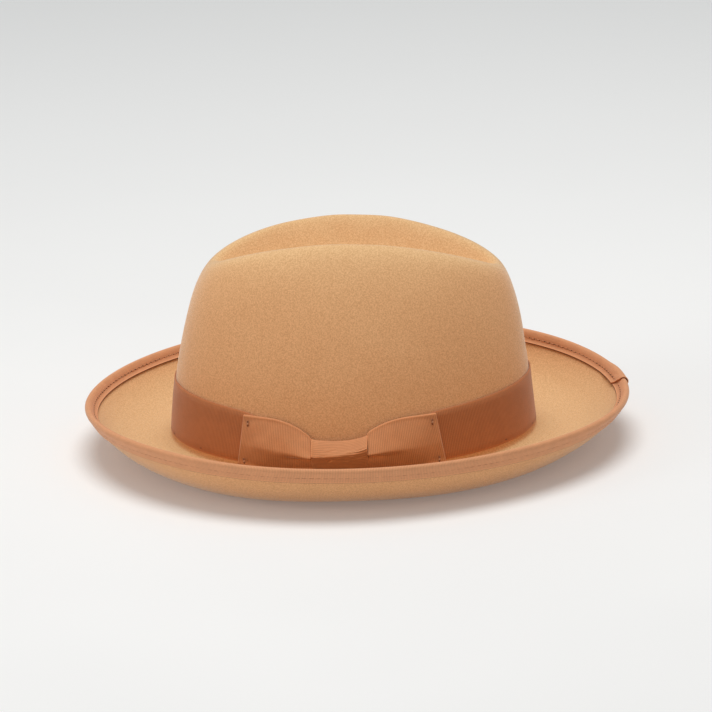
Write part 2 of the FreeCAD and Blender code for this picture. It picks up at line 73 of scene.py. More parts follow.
BRIM_WIDTH = dict(mean=59.2, back=0.7, sides=4.6, left=2.9, skew=-1.2, third=-1.7, fourth=-1.1)
BRIM_START_SLOPE = dict(mean=-21.6, back=-1.0, sides=1.6, left=-6.3, fourth=3.2)
BRIM_END_SLOPE = dict(mean=65.9, back=1.3, sides=5.7, left=2.1, skew=-3.1, third=2.3, fourth=-3.6)
BRIM_SLOPE_POWER = dict(mean=0.93, sides=0.17)
BREAK_OUT = 2.5
BREAK_DOWN = 4.0

BAND_HEIGHT = dict(mean=27.9, sides=-2.5)
BAND_FOOT = 0.3
BAND_GATHER = 13.5             # how far the band's top is gathered down behind the bow's middle
BAND_TUCK = 1.5                # how far it stays below the bow's top edge all along the bow
GATHER_FLAT = 12.0             # the gather's full depth reaches this far from the bow's middle
GATHER_FADE = 36.0             # and is gone this much further out
RIBBON = 0.6
LAYER_GAP = 0.12

BOW_CENTRE_Y = -7.5
BOW_HALF_LENGTH = 55.0
KNOT_HALF_LENGTH = 15.5

BINDING_LEG = 6.0
BINDING_LAP_ANGLE = 94.0
STITCH_PITCH = 3.9
STITCH_INSET = 3.2
STITCH_LENGTH = 3.5

SWEATBAND_HEIGHT = 32.0
SWEATBAND_BACK = -3.6          # offset of the leather's back from the felt's outside
LEATHER = 1.0
LINING = 0.25
LINING_HEM = 7.0
LINING_TOP = 74.0

NET = 120                      # control columns round the hat

# ---- detail that only the looks need
BAND_RIB = 1.05                # rib pitch of the wide ribbon
BINDING_RIB = 0.85
BAND_WIDTH = 27.0              # flat width of the wide ribbon
BINDING_WIDTH = 18.0
INNER_RIB = 0.8
RIB_DEPTH = 0.045
THREADS_PER_MM = 2.6           # warp threads across a ribbon
BOW_RIBBON = 0.48              # thickness of the bows' and the binding's ribbon under its ribs
BOW_REST = 1.25                # middle of the bow's lower layer, out from the felt
LOOP_EDGES = (-0.8, 26.2)      # height of a loop's lower and upper edge, away from the knot
LOOP_SPREAD = 30.0             # they reach those heights this far from the knot
LOOP_TOP_IN_KNOT = 14.2        # the upper edge's height inside the knot
TACK_LENGTH = 2.9
LAP = 6.0                      # degrees that the binding's upper end covers
LAP_SLANT = 2.6                # degrees between the end's corner at the inner lip and its corner at the edge
INNER_BOW_HEIGHT = 10.0        # middle of the little bow inside, above the crown's foot
INNER_BOW_BACK = SWEATBAND_BACK - LEATHER - 0.3

# what differs between the bow's loops: way along Y, slanted end, the upper edge's dip, height of the tuck
LOOPS = {
    "front": dict(way=-1, end=56.6, slant=4.1, dip=9.3, tuck=7.3),
    "back": dict(way=1, end=58.6, slant=4.9, dip=7.0, tuck=8.9),
}
# the knot's ribbon over the bow, as (height above the crown's foot, distance out from the felt)
KNOT_PATH = ((12.4, 1.2), (14.4, 1.25), (16.3, 1.9), (16.6, 3.2), (15.4, 4.9), (13.3, 7.2), (11.5, 9.1),
             (10.6, 9.9), (9.3, 9.0), (5.6, 6.3), (1.4, 3.6), (0.6, 2.6), (1.4, 1.7), (3.2, 1.2))
# the reed tape's outer and inner face, as (offset from the felt's outside, height above the crown's foot)
TAPE_PROFILE = ((-2.75, 5.0), (-2.75, 2.5), (-2.75, 0.0), (-2.8, -1.6), (-3.4, -2.6), (-4.3, -2.7),
                (-5.1, -2.0), (-5.3, -0.6), (-5.15, 1.0), (-5.1, 2.6),
                (-4.8, 2.6), (-4.8, 1.0), (-4.95, -0.6), (-4.75, -1.7), (-4.2, -2.3), (-3.6, -2.2),
                (-3.15, -1.4), (-3.1, 0.0), (-3.1, 2.5), (-3.1, 5.0))

# ---- camera and studio
CAMERA_ELEVATION = 16.433
CAMERA_YAW = -0.518
CAMERA_ROLL = -1.812
CAMERA_DISTANCE = 2500.0
CAMERA_AIM = (2.522, 36.970)   # right of and above the crown's foot, in the picture's plane
LENS = 221.7
SENSOR = 36.0
LIGHT_AIM = Vector((0, 0, 0.05))
# the floor's rings, in metres: radius and how far the floor has risen there
FLOOR_RINGS = ((0.3, 0.0), (0.8, 0.0), (1.6, 0.0), (3.0, 0.0), (5.0, 0.0), (7.0, 0.15), (8.5, 0.7),
               (9.5, 1.8), (10.2, 3.6))

band_low, band_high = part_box("hat_band")
ORIGIN = np.array([(band_low.x + band_high.x) / 2 / MM, (band_low.y + band_high.y) / 2 / MM,
                   band_low.z / MM - BAND_FOOT])


# ---- the hat's shape as formulas
def around(angle, mean=0.0, sides=0.0, back=0.0, left=0.0, skew=0.0, third=0.0, fourth=0.0):
    """A value that changes smoothly round the hat, as a few harmonics of the angle from +X."""
    return (mean + sides * np.cos(2 * angle) + back * np.sin(angle) + left * np.cos(angle)
            + skew * np.sin(2 * angle) + third * np.sin(3 * angle) + fourth * np.cos(4 * angle))


def oval(angle, half_length, half_width, power):
    c = np.cos(angle)
    s = np.sin(angle)
    r = ((np.abs(c) / half_width) ** power + (np.abs(s) / half_length) ** power) ** (-1 / power)
    return r * c, r * s


def ridge_height(y_share):
    q = np.sqrt(np.clip(1 - y_share ** 2, 0, 1))
    return RIDGE_END_HEIGHT + RIDGE_DOME * q ** RIDGE_DOME_POWER + RIDGE_TILT * y_share


def wall_half_size(share, half_foot, taper, half_ridge, shoulder):
    power, root = shoulder
    rounding = 1 - (1 - np.clip(share, 0, 1) ** power) ** (1 / root)
    return half_foot - taper * share - (half_foot - taper - half_ridge) * rounding


def wall_size(share):
    """Half length and half width of the crown at a share of its height."""
    return (wall_half_size(share, HEAD_HALF_LENGTH, TAPER_LENGTH, RIDGE_HALF_LENGTH, SHOULDER_LENGTH),
            wall_half_size(share, HEAD_HALF_WIDTH, TAPER_WIDTH, RIDGE_HALF_WIDTH, SHOULDER_WIDTH))


def lean(share):
    return LEAN[0] * share + LEAN[1] * share ** 2


def wall_point(angle, share):
    """Points on the outside of the crown's wall; share is 0 at its foot and 1 at the ridge."""
    share = np.asarray(share, float)
    half_length, half_width = wall_size(share)
    power = HEAD_POWER + (2 - HEAD_POWER) * np.maximum(share, 0) ** 3
    x, y = oval(angle, half_length, half_width, power)
    ridge_y = oval(angle, RIDGE_HALF_LENGTH, RIDGE_HALF_WIDTH, 2)[1]
    z = share * ridge_height(ridge_y / RIDGE_HALF_LENGTH)
    return np.stack(np.broadcast_arrays(x, y + lean(share), z), -1)


def dent_point(angle, rho):
    """Points inside the ridge; rho is 1 on the ridge and 0 in the middle of the pinch."""
    x, y = oval(angle, RIDGE_HALF_LENGTH, RIDGE_HALF_WIDTH, 2)
    x = x * rho
    y = y * rho
    y_share = y / RIDGE_HALF_LENGTH
    q = np.sqrt(np.maximum(1e-9, 1 - y_share ** 2))
    across = np.minimum(1, np.abs(x) / (RIDGE_HALF_WIDTH * q))
    depth = DENT_DEPTH * q * (1 - across ** 2) ** DENT_POWER
    return np.stack([x, y + lean(1.0), ridge_height(y_share) - depth], -1)


def foot_point(angle):
    x, y = oval(angle, HEAD_HALF_LENGTH, HEAD_HALF_WIDTH, HEAD_POWER)
    return np.stack([x, y, np.zeros_like(x)], -1)


def foot_normal(angle):
    step = 0.01
    along = foot_point(angle + step) - foot_point(angle - step)
    return unit(np.stack([along[..., 1], -along[..., 0], along[..., 2]], -1))


def brim_section(angle, distances, offset=0.0, past_end=0.0):
    """Points of the brim's upper surface, (rows, columns, 3), at distances in from its edge, moved out by
    offset along its normal. past_end carries the section straight on beyond the edge."""
    angle = np.asarray(angle, float)
    distances = np.asarray(distances, float)
    if distances.ndim == 1:
        distances = distances[:, None]
    distances = distances + np.zeros(angle.shape)
    offset = np.broadcast_to(offset, distances.shape)
    width = around(angle, **BRIM_WIDTH)
    start = np.radians(around(angle, **BRIM_START_SLOPE))
    end = np.radians(around(angle, **BRIM_END_SLOPE))
    power = around(angle, **BRIM_SLOPE_POWER)
    share = np.clip((width - distances) / width, 0, 1)
    slope = start + (end - start) * share ** power
    steps = 120
    middle = ((np.arange(steps) + 0.5) / steps)[:, None]
    slopes = start + (end - start) * middle ** power
    i = np.minimum((share * steps).astype(int), steps - 1)
    part = share * steps - i

    def covered(rate):
        """Way out (rate cosine) or up (rate sine) from where the brim starts."""
        sums = np.insert(np.cumsum(rate(slopes), 0), 0, 0, 0) * width / steps
        return np.take_along_axis(sums, i, 0) * (1 - part) + np.take_along_axis(sums, i + 1, 0) * part

    r = BREAK_OUT + covered(np.cos) - np.sin(slope) * offset + np.cos(slope) * past_end
    z = -BREAK_DOWN + covered(np.sin) + np.cos(slope) * offset + np.sin(slope) * past_end
    points = foot_point(angle)[None] + foot_normal(angle)[None] * r[..., None]
    points[..., 2] += z
    return points


# ---- spline nets
def round_angles(count):
    return 2 * np.pi * np.arange(count) / count


def felt_net():
    """Control rows of the felt's outside, from the brim's edge to the middle of the pinch."""
    angle = round_angles(NET)
    width = around(angle, **BRIM_WIDTH)
    rows = list(brim_section(angle, width[None] * np.linspace(0, 1, 16)[:, None]))
    for share_out, share_down in ((0.3, 0.83), (0.03, 0.46)):
        row = foot_point(angle) + foot_normal(angle) * (BREAK_OUT * share_out)
        row[:, 2] -= BREAK_DOWN * share_down
        rows.append(row)
    for share in (0, 0.05, 0.12, 0.2, 0.29, 0.38, 0.47, 0.56, 0.64, 0.72, 0.79, 0.85, 0.9, 0.94, 0.975, 1):
        rows.append(wall_point(angle, share))
    for rho in (0.94, 0.87, 0.78, 0.68, 0.57, 0.45, 0.32, 0.18, 0.07, 0):
        rows.append(dent_point(angle, rho))
    return np.array(rows)


def wall_net(heights, offset):
    """Control rows on the crown's wall at heights, moved out by offset."""
    angle = round_angles(NET)
    ridge_z = wall_point(angle, 1.0)[:, 2]
    rows = np.array([wall_point(angle, (height + 0 * angle) / ridge_z) for height in heights])
    return rows + grid_normals(rows, True) * offset


def grid_normals(points, closed):
    """Unit normals of a (rows, columns, 3) grid: along crossed with up."""
    if closed:
        along = np.roll(points, -1, 1) - np.roll(points, 1, 1)
    else:
        along = np.gradient(points, axis=1)
    up = np.gradient(points, axis=0)
    normal = np.cross(along, up)
    length = np.linalg.norm(normal, axis=-1, keepdims=True)
    flat = length[..., 0] < 1e-9
    normal = normal / np.maximum(length, 1e-9)
    normal[flat] = (0, 0, 1)
    return normal


def closed_weights(controls, samples):
    """Weights of a uniform cubic spline round a closed row, (samples, controls)."""
    t = np.arange(samples) * controls / samples
    base = np.floor(t).astype(int)
    f = t - base
    parts = ((1 - f) ** 3, 3 * f ** 3 - 6 * f ** 2 + 4, -3 * f ** 3 + 3 * f ** 2 + 3 * f + 1, f ** 3)
    weights = np.zeros((samples, controls))
    for shift, part in zip((-1, 0, 1, 2), parts):
        np.add.at(weights, (np.arange(samples), (base + shift) % controls), part / 6)
    return weights


def clamped_weights(controls, places):
    """Weights of a clamped uniform cubic spline at places from 0 to 1, (places, controls)."""
    degree = min(3, controls - 1)
    spans = controls - degree
    knots = np.concatenate([np.zeros(degree), np.arange(spans + 1), np.full(degree, spans)])
    t = (np.clip(np.asarray(places, float), 0, 1 - 1e-9) * spans)[:, None]
    weights = ((t >= knots[:-1]) & (t < knots[1:])).astype(float)
    for d in range(1, degree + 1):
        width = np.maximum(knots[d:] - knots[:-d], 1e-9)
        rising = (t - knots[:-d - 1]) / width[:-1] * weights[:, :-1]
        falling = (knots[d + 1:] - t) / width[1:] * weights[:, 1:]
        weights = rising + falling
    return weights


def round_surface(net, places, columns):
    """Points of the spline surface over a net that closes round the hat."""
    rows = np.einsum("mr,rnk->mnk", clamped_weights(len(net), places), net)
    return np.einsum("cn,mnk->mck", closed_weights(net.shape[1], columns), rows)


# ---- small helpers
def length_along(points, axis):
    steps = np.linalg.norm(np.diff(points, axis=axis), axis=-1)
    return np.insert(np.cumsum(steps, axis=axis), 0, 0, axis=axis)


def unit(vectors):
    return vectors / np.maximum(np.linalg.norm(vectors, axis=-1, keepdims=True), 1e-9)


def closed_row(points):
    return np.concatenate([points, points[:1]])


def smooth_step(value, low, high):
    share = np.clip((value - low) / (high - low), 0, 1)
    return share * share * (3 - 2 * share)


def hump(distance, reach):
    """A smooth bump: 1 where the distance is 0, and gone a few times reach away."""
    return np.exp(-(distance / reach) ** 2)


def ribbed(row, rib, depth=RIB_DEPTH):
    """Heights of a ribbed cloth's surface along a row of points, and the ribs' exact pitch, about rib."""
    lengths = length_along(row, 0)
    pitch = lengths[-1] / round(lengths[-1] / rib)
    return depth * (0.5 + 0.5 * np.cos(2 * np.pi * lengths / pitch)), pitch


def waves(angle, place, count, amplitude, top_frequency, seed):
    """A gentle uneven swell round the hat, the same on every run."""
    rng = np.random.default_rng(seed)
    total = np.zeros(np.broadcast(angle, place).shape)
    for _ in range(count):
        total += (np.cos(rng.integers(1, top_frequency) * angle + rng.uniform(0, 6.28))
                  * np.cos(rng.uniform(0, 9) * place + rng.uniform(0, 6.28)))
    return total * amplitude / math.sqrt(count)


def even_angles(place, start, end, pitch):
    """Angles at which points of place(angle) are evenly spaced by about pitch."""
    samples = np.linspace(start, end, 2881)
    lengths = length_along(place(samples), 0)
    count = int(round(lengths[-1] / pitch))
    return np.interp(np.linspace(0, lengths[-1], count + 1), lengths, samples)


# ---- meshes
def make_piece(node, points, faces, corner_uv):
    """The smooth-shaded mesh that replaces a CAD node, from points in millimetres.
    corner_uv has one pair for each corner of each face."""
    name, material = PIECES[node][:2]
    mesh = bpy.data.meshes.new(name)
    mesh.from_pydata(((np.asarray(points) + ORIGIN) * MM).tolist(), [], faces)
    layer = mesh.uv_layers.new(name="Cloth")
    layer.data.foreach_set("uv", np.asarray(corner_uv, np.float32).ravel())
    mesh.polygons.foreach_set("use_smooth", np.ones(len(mesh.polygons), bool))
    mesh.materials.append(MATERIALS[material])
    mesh.update()
    piece = bpy.data.objects.new(name, mesh)
    bpy.context.scene.collection.objects.link(piece)
    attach(piece, "root")
    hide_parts(node)
    return piece


def grid_quads(rows, columns, closed_rows, closed_columns):
    """Quads of a grid as (face, corner) pairs of row and column numbers that may run one past the end."""
    r = np.arange(rows if closed_rows else rows - 1)
    c = np.arange(columns if closed_columns else columns - 1)
    r, c = np.meshgrid(r, c, indexing="ij")
    r = r.ravel()
    c = c.ravel()
    return np.stack([r, r, r + 1, r + 1], 1), np.stack([c, c + 1, c + 1, c], 1)


def make_sheet(node, mid, thickness, relief=0.0, back_relief=0.0, rib=1.0, width=None, closed=False,
               turned=False):
    """A thin solid round a middle grid (rows, columns, 3), whose rows are closed or end in flat caps.
    The first uv is the length along a row in ribs, the second the place across in millimetres, or the other
    way round on a turned sheet."""
    rows, columns = mid.shape[:2]
    normal = grid_normals(mid, closed)
    half = thickness / 2
    outer = mid + normal * (half + np.broadcast_to(relief, (rows, columns)))[..., None]
    inner = mid - normal * (half + np.broadcast_to(back_relief, (rows, columns)))[..., None]
    first_edge = mid[0] + unit(mid[0] - mid[1]) * half
    last_edge = mid[-1] + unit(mid[-1] - mid[-2]) * half
    loop = np.concatenate([outer, last_edge[None], inner[::-1], first_edge[None]])
    middle_row = closed_row(mid[rows // 2]) if closed else mid[rows // 2]
    u = length_along(middle_row, 0) / rib
    widths = length_along(mid, 0)
    v = widths / widths[-1:] * (widths[-1:].max() if width is None else width)
    v = np.concatenate([v, v[-1:] + half, v[::-1], v[:1] - half])
    row, column = grid_quads(len(loop), columns, True, closed)
    row = row % len(loop)
    real_column = column % columns
    faces = (row * columns + real_column).tolist()
    uv = np.stack([u[column], v[row, real_column]], -1).reshape(-1, 2)
    if not closed:
        last = len(loop) - 1
        ends = [[k, k + 1, last - 2 - k, last - 1 - k] for k in range(rows - 1)]
        ends += [[last, 0, last - 1], [rows - 1, rows, rows + 1]]
        end_uv = []
        for end, way in ((0, 1), (columns - 1, -1)):
            for corners in ends:
                faces.append([k * columns + end for k in corners[::way]])
                end_uv += [(u[end], v[k, end]) for k in corners[::way]]
        uv = np.concatenate([uv, end_uv])
    return make_piece(node, loop.reshape(-1, 3), faces, uv[:, ::-1] if turned else uv)


def make_threads(node, paths, radius, sides=6):
    """Round threads along paths (count, steps, 3), narrower at their ends."""
    count, steps = paths.shape[:2]
    tangent = unit(np.gradient(paths, axis=1))
    reference = np.where(np.abs(tangent[..., 2:3]) > 0.9, [[[1.0, 0, 0]]], [[[0, 0, 1.0]]])
    side = unit(np.cross(tangent, reference))
    other = np.cross(side, tangent)
    swell = radius * np.sqrt(np.clip(1 - np.linspace(-1, 1, steps) ** 8, 0.05, 1))
    turn = round_angles(sides)
    ring = side[:, :, None] * np.cos(turn)[:, None] + other[:, :, None] * np.sin(turn)[:, None]
    points = paths[:, :, None] + ring * swell[None, :, None, None]
    row, column = grid_quads(steps, sides, False, True)
    one = row * sides + column % sides
    faces = (one[None] + (np.arange(count) * steps * sides)[:, None, None]).reshape(-1, 4).tolist()
    for k in range(count):
        base = k * steps * sides
        faces.append([base + i for i in range(sides)][::-1])
        faces.append([base + (steps - 1) * sides + i for i in range(sides)])
    lengths = length_along(paths, 1)
    turns = np.broadcast_to(column / sides, (count,) + column.shape)
    uv = np.stack([lengths[:, row], turns], -1).reshape(-1, 2)
    uv = np.concatenate([uv, np.zeros((2 * count * sides, 2))])
    return make_piece(node, points.reshape(-1, 3), faces, uv)


def make_stitches(node, place, angle, normal, length, arch, sink, radius):
    """Stitches at angles of the line place(angle). Each rises out of the cloth and dips back in."""
    step = 0.002
    s = np.linspace(-1, 1, 7)
    lift = arch * (1 - s ** 4) - sink * s ** 4
    along = unit(place(angle + step) - place(angle - step))
    paths = (place(angle)[:, None] + along[:, None] * (s * length / 2)[None, :, None]
             + unit(normal)[:, None] * lift[None, :, None])
    return make_threads(node, paths, radius)


# ---- materials
class Nodes:
    """A material's node tree, with short calls for what these materials use."""

    def __init__(self, name, roughness, sheen=0.0, sheen_roughness=0.5, sheen_tint=(1, 1, 1), specular=0.3):
        self.material = bpy.data.materials.new(name)
        self.material.use_nodes = True
        self.tree = self.material.node_tree
        self.tree.nodes.clear()
        self.shader = self.add("BsdfPrincipled", {
            "Roughness": roughness, "Sheen Weight": sheen, "Sheen Roughness": sheen_roughness,
            "Sheen Tint": (*sheen_tint, 1), "Specular IOR Level": specular})
        self.add("OutputMaterial", {"Surface": self.shader.outputs["BSDF"]})

    def link(self, value, socket):
        if isinstance(value, bpy.types.NodeSocket):
            self.tree.links.new(value, socket)
        else:
            socket.default_value = value

    def add(self, kind, inputs, **settings):
        """A new node with its settings, and its inputs linked or set."""
        node = self.tree.nodes.new("ShaderNode" + kind)
        for name, value in settings.items():
            setattr(node, name, value)
        for key, value in inputs.items():
            self.link(value, node.inputs[key])
        return node

    def coords(self, kind="Object"):
        return self.add("TexCoord", {}).outputs[kind]

    def split(self, vector):
        return self.add("SeparateXYZ", {0: vector}).outputs

    def facing_up(self):
        """From -1, where the surface faces down, to 1."""
        return self.split(self.coords("Normal"))[2]

    def cloth(self):
        return self.add("UVMap", {}, uv_map="Cloth").outputs["UV"]

    def stretched(self, vector, scale):
        return self.add("Mapping", {"Vector": vector, "Scale": scale}).outputs[0]

    def noise(self, scale, detail=4.0, roughness=0.6, vector=None, distortion=0.0):
        vector = self.coords() if vector is None else vector
        return self.add("TexNoise", {"Vector": vector, "Scale": scale, "Detail": detail,
                                     "Roughness": roughness, "Distortion": distortion}).outputs["Fac"]

    def voronoi(self, scale):
        return self.add("TexVoronoi", {"Vector": self.coords(), "Scale": scale}).outputs["Distance"]

    def math(self, operation, a, b=0.0):
        return self.add("Math", {0: a, 1: b}, operation=operation).outputs[0]

    def sine(self, value, turns=1.0):
        """A wave with so many turns in each unit of the value."""
        return self.math("SINE", self.math("MULTIPLY", value, 2 * math.pi * turns))

    def weighted(self, first, *others):
        """The sum of (value, weight) pairs."""
        total = self.math("MULTIPLY", *first)
        for pair in others:
            total = self.math("ADD", total, self.math("MULTIPLY", *pair))
        return total

    def inset(self, place, size):
        """Distance from the nearer end of a stretch of this size."""
        return self.math("MINIMUM", place, self.math("SUBTRACT", size, place))

    def span(self, value, low, high, to_low=0.0, to_high=1.0):
        """The value eased from to_low at low to to_high at high."""
        return self.add("MapRange", {"Value": value, "From Min": low, "From Max": high, "To Min": to_low,
                                     "To Max": to_high}, interpolation_type="SMOOTHSTEP").outputs[0]

    def mix(self, share, first, second, blend_type="MIX"):
        first, second = ((*c, 1) if isinstance(c, tuple) else c for c in (first, second))
        return self.add("Mix", {"Factor": share, "A": first, "B": second}, data_type="RGBA",
                        blend_type=blend_type).outputs["Result"]

    def tinted(self, colour, tint):
        return self.mix(1.0, colour, tint, "MULTIPLY")

    def shades(self, colour, value, low, high, first, second):
        """The colour from its first shade, where the value is low, to its second, where it is high."""
        return self.mix(self.span(value, low, high), shade(colour, first), shade(colour, second))

    def finish(self, colour, height, distance, strength, roughness=None):
        bump = self.add("Bump", {"Height": height, "Distance": distance, "Strength": strength})
        self.link(colour, self.shader.inputs["Base Color"])
        self.link(bump.outputs["Normal"], self.shader.inputs["Normal"])
        if roughness is not None:
            self.link(roughness, self.shader.inputs["Roughness"])
        return self.material


def shade(colour, factor):
    return tuple(min(1.0, channel * factor) for channel in colour)


def felt_material(name, colour, paler, painted_top_light):
    """Short-napped felt: cloudy colour, fine matted grain, stray fibres and a pale nap at grazing angles.
    Parts that face up are painted paler, a painted highlight for the light from above."""
    n = Nodes(name, 0.95, sheen=0.65, sheen_roughness=0.35, sheen_tint=(1.0, 0.96, 0.85), specular=0.12)
    grain = n.noise(1250, 3, 0.7)
    fibres = n.noise(1, 3, 0.6, n.stretched(n.coords(), (2600, 900, 1700)), 1.5)
    tone = n.weighted((n.span(grain, 0.34, 0.66), 0.75), (fibres, 0.25))
    ground = n.mix(n.span(n.noise(30, 3, 0.5), 0.4, 0.7, 0, 0.25), colour, paler)
    # painted highlight: parts that face up are made paler, for the light that falls on them from above
    ground = n.mix(n.span(n.facing_up(), 0.3, 0.95), ground, painted_top_light)
    base = n.mix(tone, n.tinted(ground, (0.84, 0.77, 0.70)), n.tinted(ground, (1.14, 1.20, 1.26)))
    specks = n.span(n.noise(900, 2, 0.5), 0.68, 0.78, 0, 0.35)
    base = n.mix(specks, base, n.tinted(ground, (0.72, 0.58, 0.48)))
    return n.finish(base, n.weighted((grain, 0.7), (fibres, 0.4)), 0.0003, 0.8)


def grosgrain_material(name, colour, width=None, underside_shade=1.0, sheen=0.4, edge_and_gap_shade=None):
    """Ribbed ribbon: shiny rib crowns painted lighter and grooves painted darker, as painted highlight and
    painted shade, fine warp threads, and a plain pale selvedge.
    Parts that face down are painted deeper and darker by a given factor, as painted shade.
    An optional colour paints its outermost edge: the dark cut edge, darkened further as painted shade of the
    gap beneath it."""
    n = Nodes(name, 0.62, sheen=sheen, sheen_roughness=0.4, sheen_tint=(1.0, 0.93, 0.85), specular=0.28)
    u, v = n.split(n.cloth())[:2]
    groove = n.math("ABSOLUTE", n.sine(u, 0.5))
    threads = n.sine(v, THREADS_PER_MM)
    fine = n.noise(1900, 3)
    # painted highlight on the rib crowns and painted shade in the grooves
    base = n.shades(colour, groove, 0.0, 1.0, 1.18, 0.85)
    base = n.mix(n.span(n.noise(170), 0.35, 0.75, 0, 0.3), base, shade(colour, 1.25))
    base = n.mix(n.span(fine, 0.45, 0.8, 0, 0.25), base, shade(colour, 0.7))
    if width:
        edge = n.inset(v, width)
        base = n.mix(n.span(edge, 0.9, 0.4, 0, 0.5), base, shade(colour, 1.3))
        # the cut edge's own dark colour, with painted shade for the gap under the binding's lip
        if edge_and_gap_shade:
            base = n.mix(n.span(edge, 0.25, 0.0), base, edge_and_gap_shade)
    # painted shade: the colour is darkened and deepened on parts that face down
    if underside_shade < 1:
        shaded_underside = n.tinted(base, (underside_shade, underside_shade * 0.92, underside_shade * 0.84))
        base = n.mix(n.span(n.facing_up(), -0.45, 0.45), shaded_underside, base)
    height = n.weighted((threads, 0.12), (fine, 0.5), (groove, -0.15))
    return n.finish(base, height, 0.00012, 0.8, n.span(groove, 0.0, 1.0, 0.52, 0.8))


def thread_material(name, colour):
    """Twisted sewing thread."""
    n = Nodes(name, 0.6, sheen=0.15)
    u, v = n.split(n.cloth())[:2]
    twist = n.sine(n.weighted((u, 1.6), (v, 1.0)))
    base = n.shades(colour, twist, -1, 1, 0.6, 1.25)
    base = n.mix(n.math("MULTIPLY", n.noise(2400, 2), 0.3), base, shade(colour, 0.8))
    return n.finish(base, twist, 0.00006, 0.8)


def tack_material(name, colour, end_shade, length, end_shade_length):
    """A short stitch whose two ends disappear into dimples, painted dark there as the dimples' shade."""
    n = Nodes(name, 0.7, sheen=0.1, specular=0.2)
    u, v = n.split(n.cloth())[:2]
    twist = n.sine(n.weighted((u, 1.2), (v, 1.0)))
    base = n.shades(colour, twist, -1, 1, 0.7, 1.2)
    # painted shade: the thread darkens towards its ends, where it enters the cloth
    base = n.mix(n.span(n.inset(u, length), end_shade_length, end_shade_length * 0.64), base, end_shade)
    return n.finish(base, twist, 0.00006, 0.8)


def leather_material(name, colour):
    """Smooth sweatband leather with fine pebbled grain, pores and soft wear."""
    n = Nodes(name, 0.45, sheen=0.05, specular=0.45)
    pebbles = n.voronoi(900)
    clouds = n.noise(45)
    base = n.shades(colour, pebbles, 0.1, 0.7, 1.1, 0.72)
    base = n.mix(n.span(clouds, 0.35, 0.7, 0, 0.4), base, shade(colour, 1.4))
    height = n.weighted((pebbles, -0.8), (n.noise(2600, 3, 0.7), 0.3))
    return n.finish(base, height, 0.00015, 0.7, n.span(clouds, 0.3, 0.7, 0.36, 0.55))


def satin_material(name, colour):
    """Satin lining: long floats give a silky sheen with fine lines along the cloth."""
    n = Nodes(name, 0.34, sheen=0.25, sheen_roughness=0.3, specular=0.5)
    n.shader.inputs["Anisotropic"].default_value = 0.6
    floats = n.noise(1, 3, 0.6, n.stretched(n.cloth(), (6.0, 0.5, 1.0)))
    clouds = n.noise(28, 3, 0.5)
    base = n.shades(colour, floats, 0.3, 0.7, 0.85, 1.12)
    base = n.mix(n.math("MULTIPLY", clouds, 0.35), base, shade(colour, 1.2))
    return n.finish(base, floats, 0.00008, 0.7, n.span(clouds, 0.3, 0.7, 0.28, 0.42))


def woven_material(name, colour, pitch):
    """Plain woven cotton: over-and-under threads in both directions."""
    n = Nodes(name, 0.85, sheen=0.2, specular=0.2)
    u, v = n.split(n.cloth())[:2]
    weave = n.math("MULTIPLY", n.sine(u, 1 / pitch), n.sine(v, 1 / pitch))
    base = n.shades(colour, weave, -1, 1, 0.78, 1.1)
    base = n.mix(n.span(n.noise(500, 4, 0.65), 0.4, 0.8, 0, 0.4), base, shade(colour, 0.85))
    return n.finish(base, weave, 0.0001, 0.8)


def reed_material(name, colour):
    """Extruded plastic reed, slightly cloudy, with fine draw lines."""
    n = Nodes(name, 0.4, specular=0.5)
    lines = n.noise(700, 3, 0.5)
    base = n.shades(colour, lines, 0.3, 0.7, 0.92, 1.05)
    return n.finish(base, lines, 0.00004, 0.5, n.span(lines, 0.3, 0.7, 0.33, 0.5))


def floor_material(name):
    """Matt studio floor, painted greyer further from the hat as a painted falloff of the light, and glowing
    faintly.
    """
    n = Nodes(name, 0.75, specular=0.15)
    base = n.mix(n.span(n.noise(2.2, 3, 0.5), 0.3, 0.7), (0.76, 0.76, 0.755), (0.79, 0.79, 0.785))
    x, y = n.split(n.coords())[:2]
    # painted falloff of light: the floor darkens with distance from a point just in front of the hat
    ahead = n.math("SUBTRACT", x, 0.3)
    beyond = n.math("SQRT", n.math("ADD", n.math("MULTIPLY", ahead, ahead), n.math("MULTIPLY", y, y)))
    base = n.mix(n.span(beyond, 0.1, 1.7), base, (0.64, 0.65, 0.65))
    # painted light: the floor glows faintly, which lifts the shadows round the hat
    n.shader.inputs["Emission Color"].default_value = (1, 1, 1, 1)
    n.shader.inputs["Emission Strength"].default_value = 0.12
    return n.finish(base, n.noise(160, 3), 0.0002, 0.15)


FELT_COLOUR = (0.79, 0.412, 0.19)
BAND_COLOUR = (0.47, 0.155, 0.05)
# the bow is the band's ribbon, painted lighter for the light that falls on it
BOW_RIBBON_PAINTED_LIGHTER = (0.64, 0.262, 0.106)
BINDING_COLOUR = (0.71, 0.325, 0.155)
# the binding's cut edge: its own dark edge, and painted shade of the gap under its lip
EDGE_AND_GAP_SHADE_COLOUR = (0.13, 0.036, 0.006)
THREAD_COLOUR = (0.64, 0.29, 0.14)
# painted shade of the needle holes at the binding stitches' ends
NEEDLE_HOLE_SHADE = (0.07, 0.016, 0.004)
TACK_COLOUR = (0.6, 0.3, 0.16)
# painted shade of the dimples at the tacks' ends
TACK_DIMPLE_SHADE = (0.24, 0.08, 0.03)

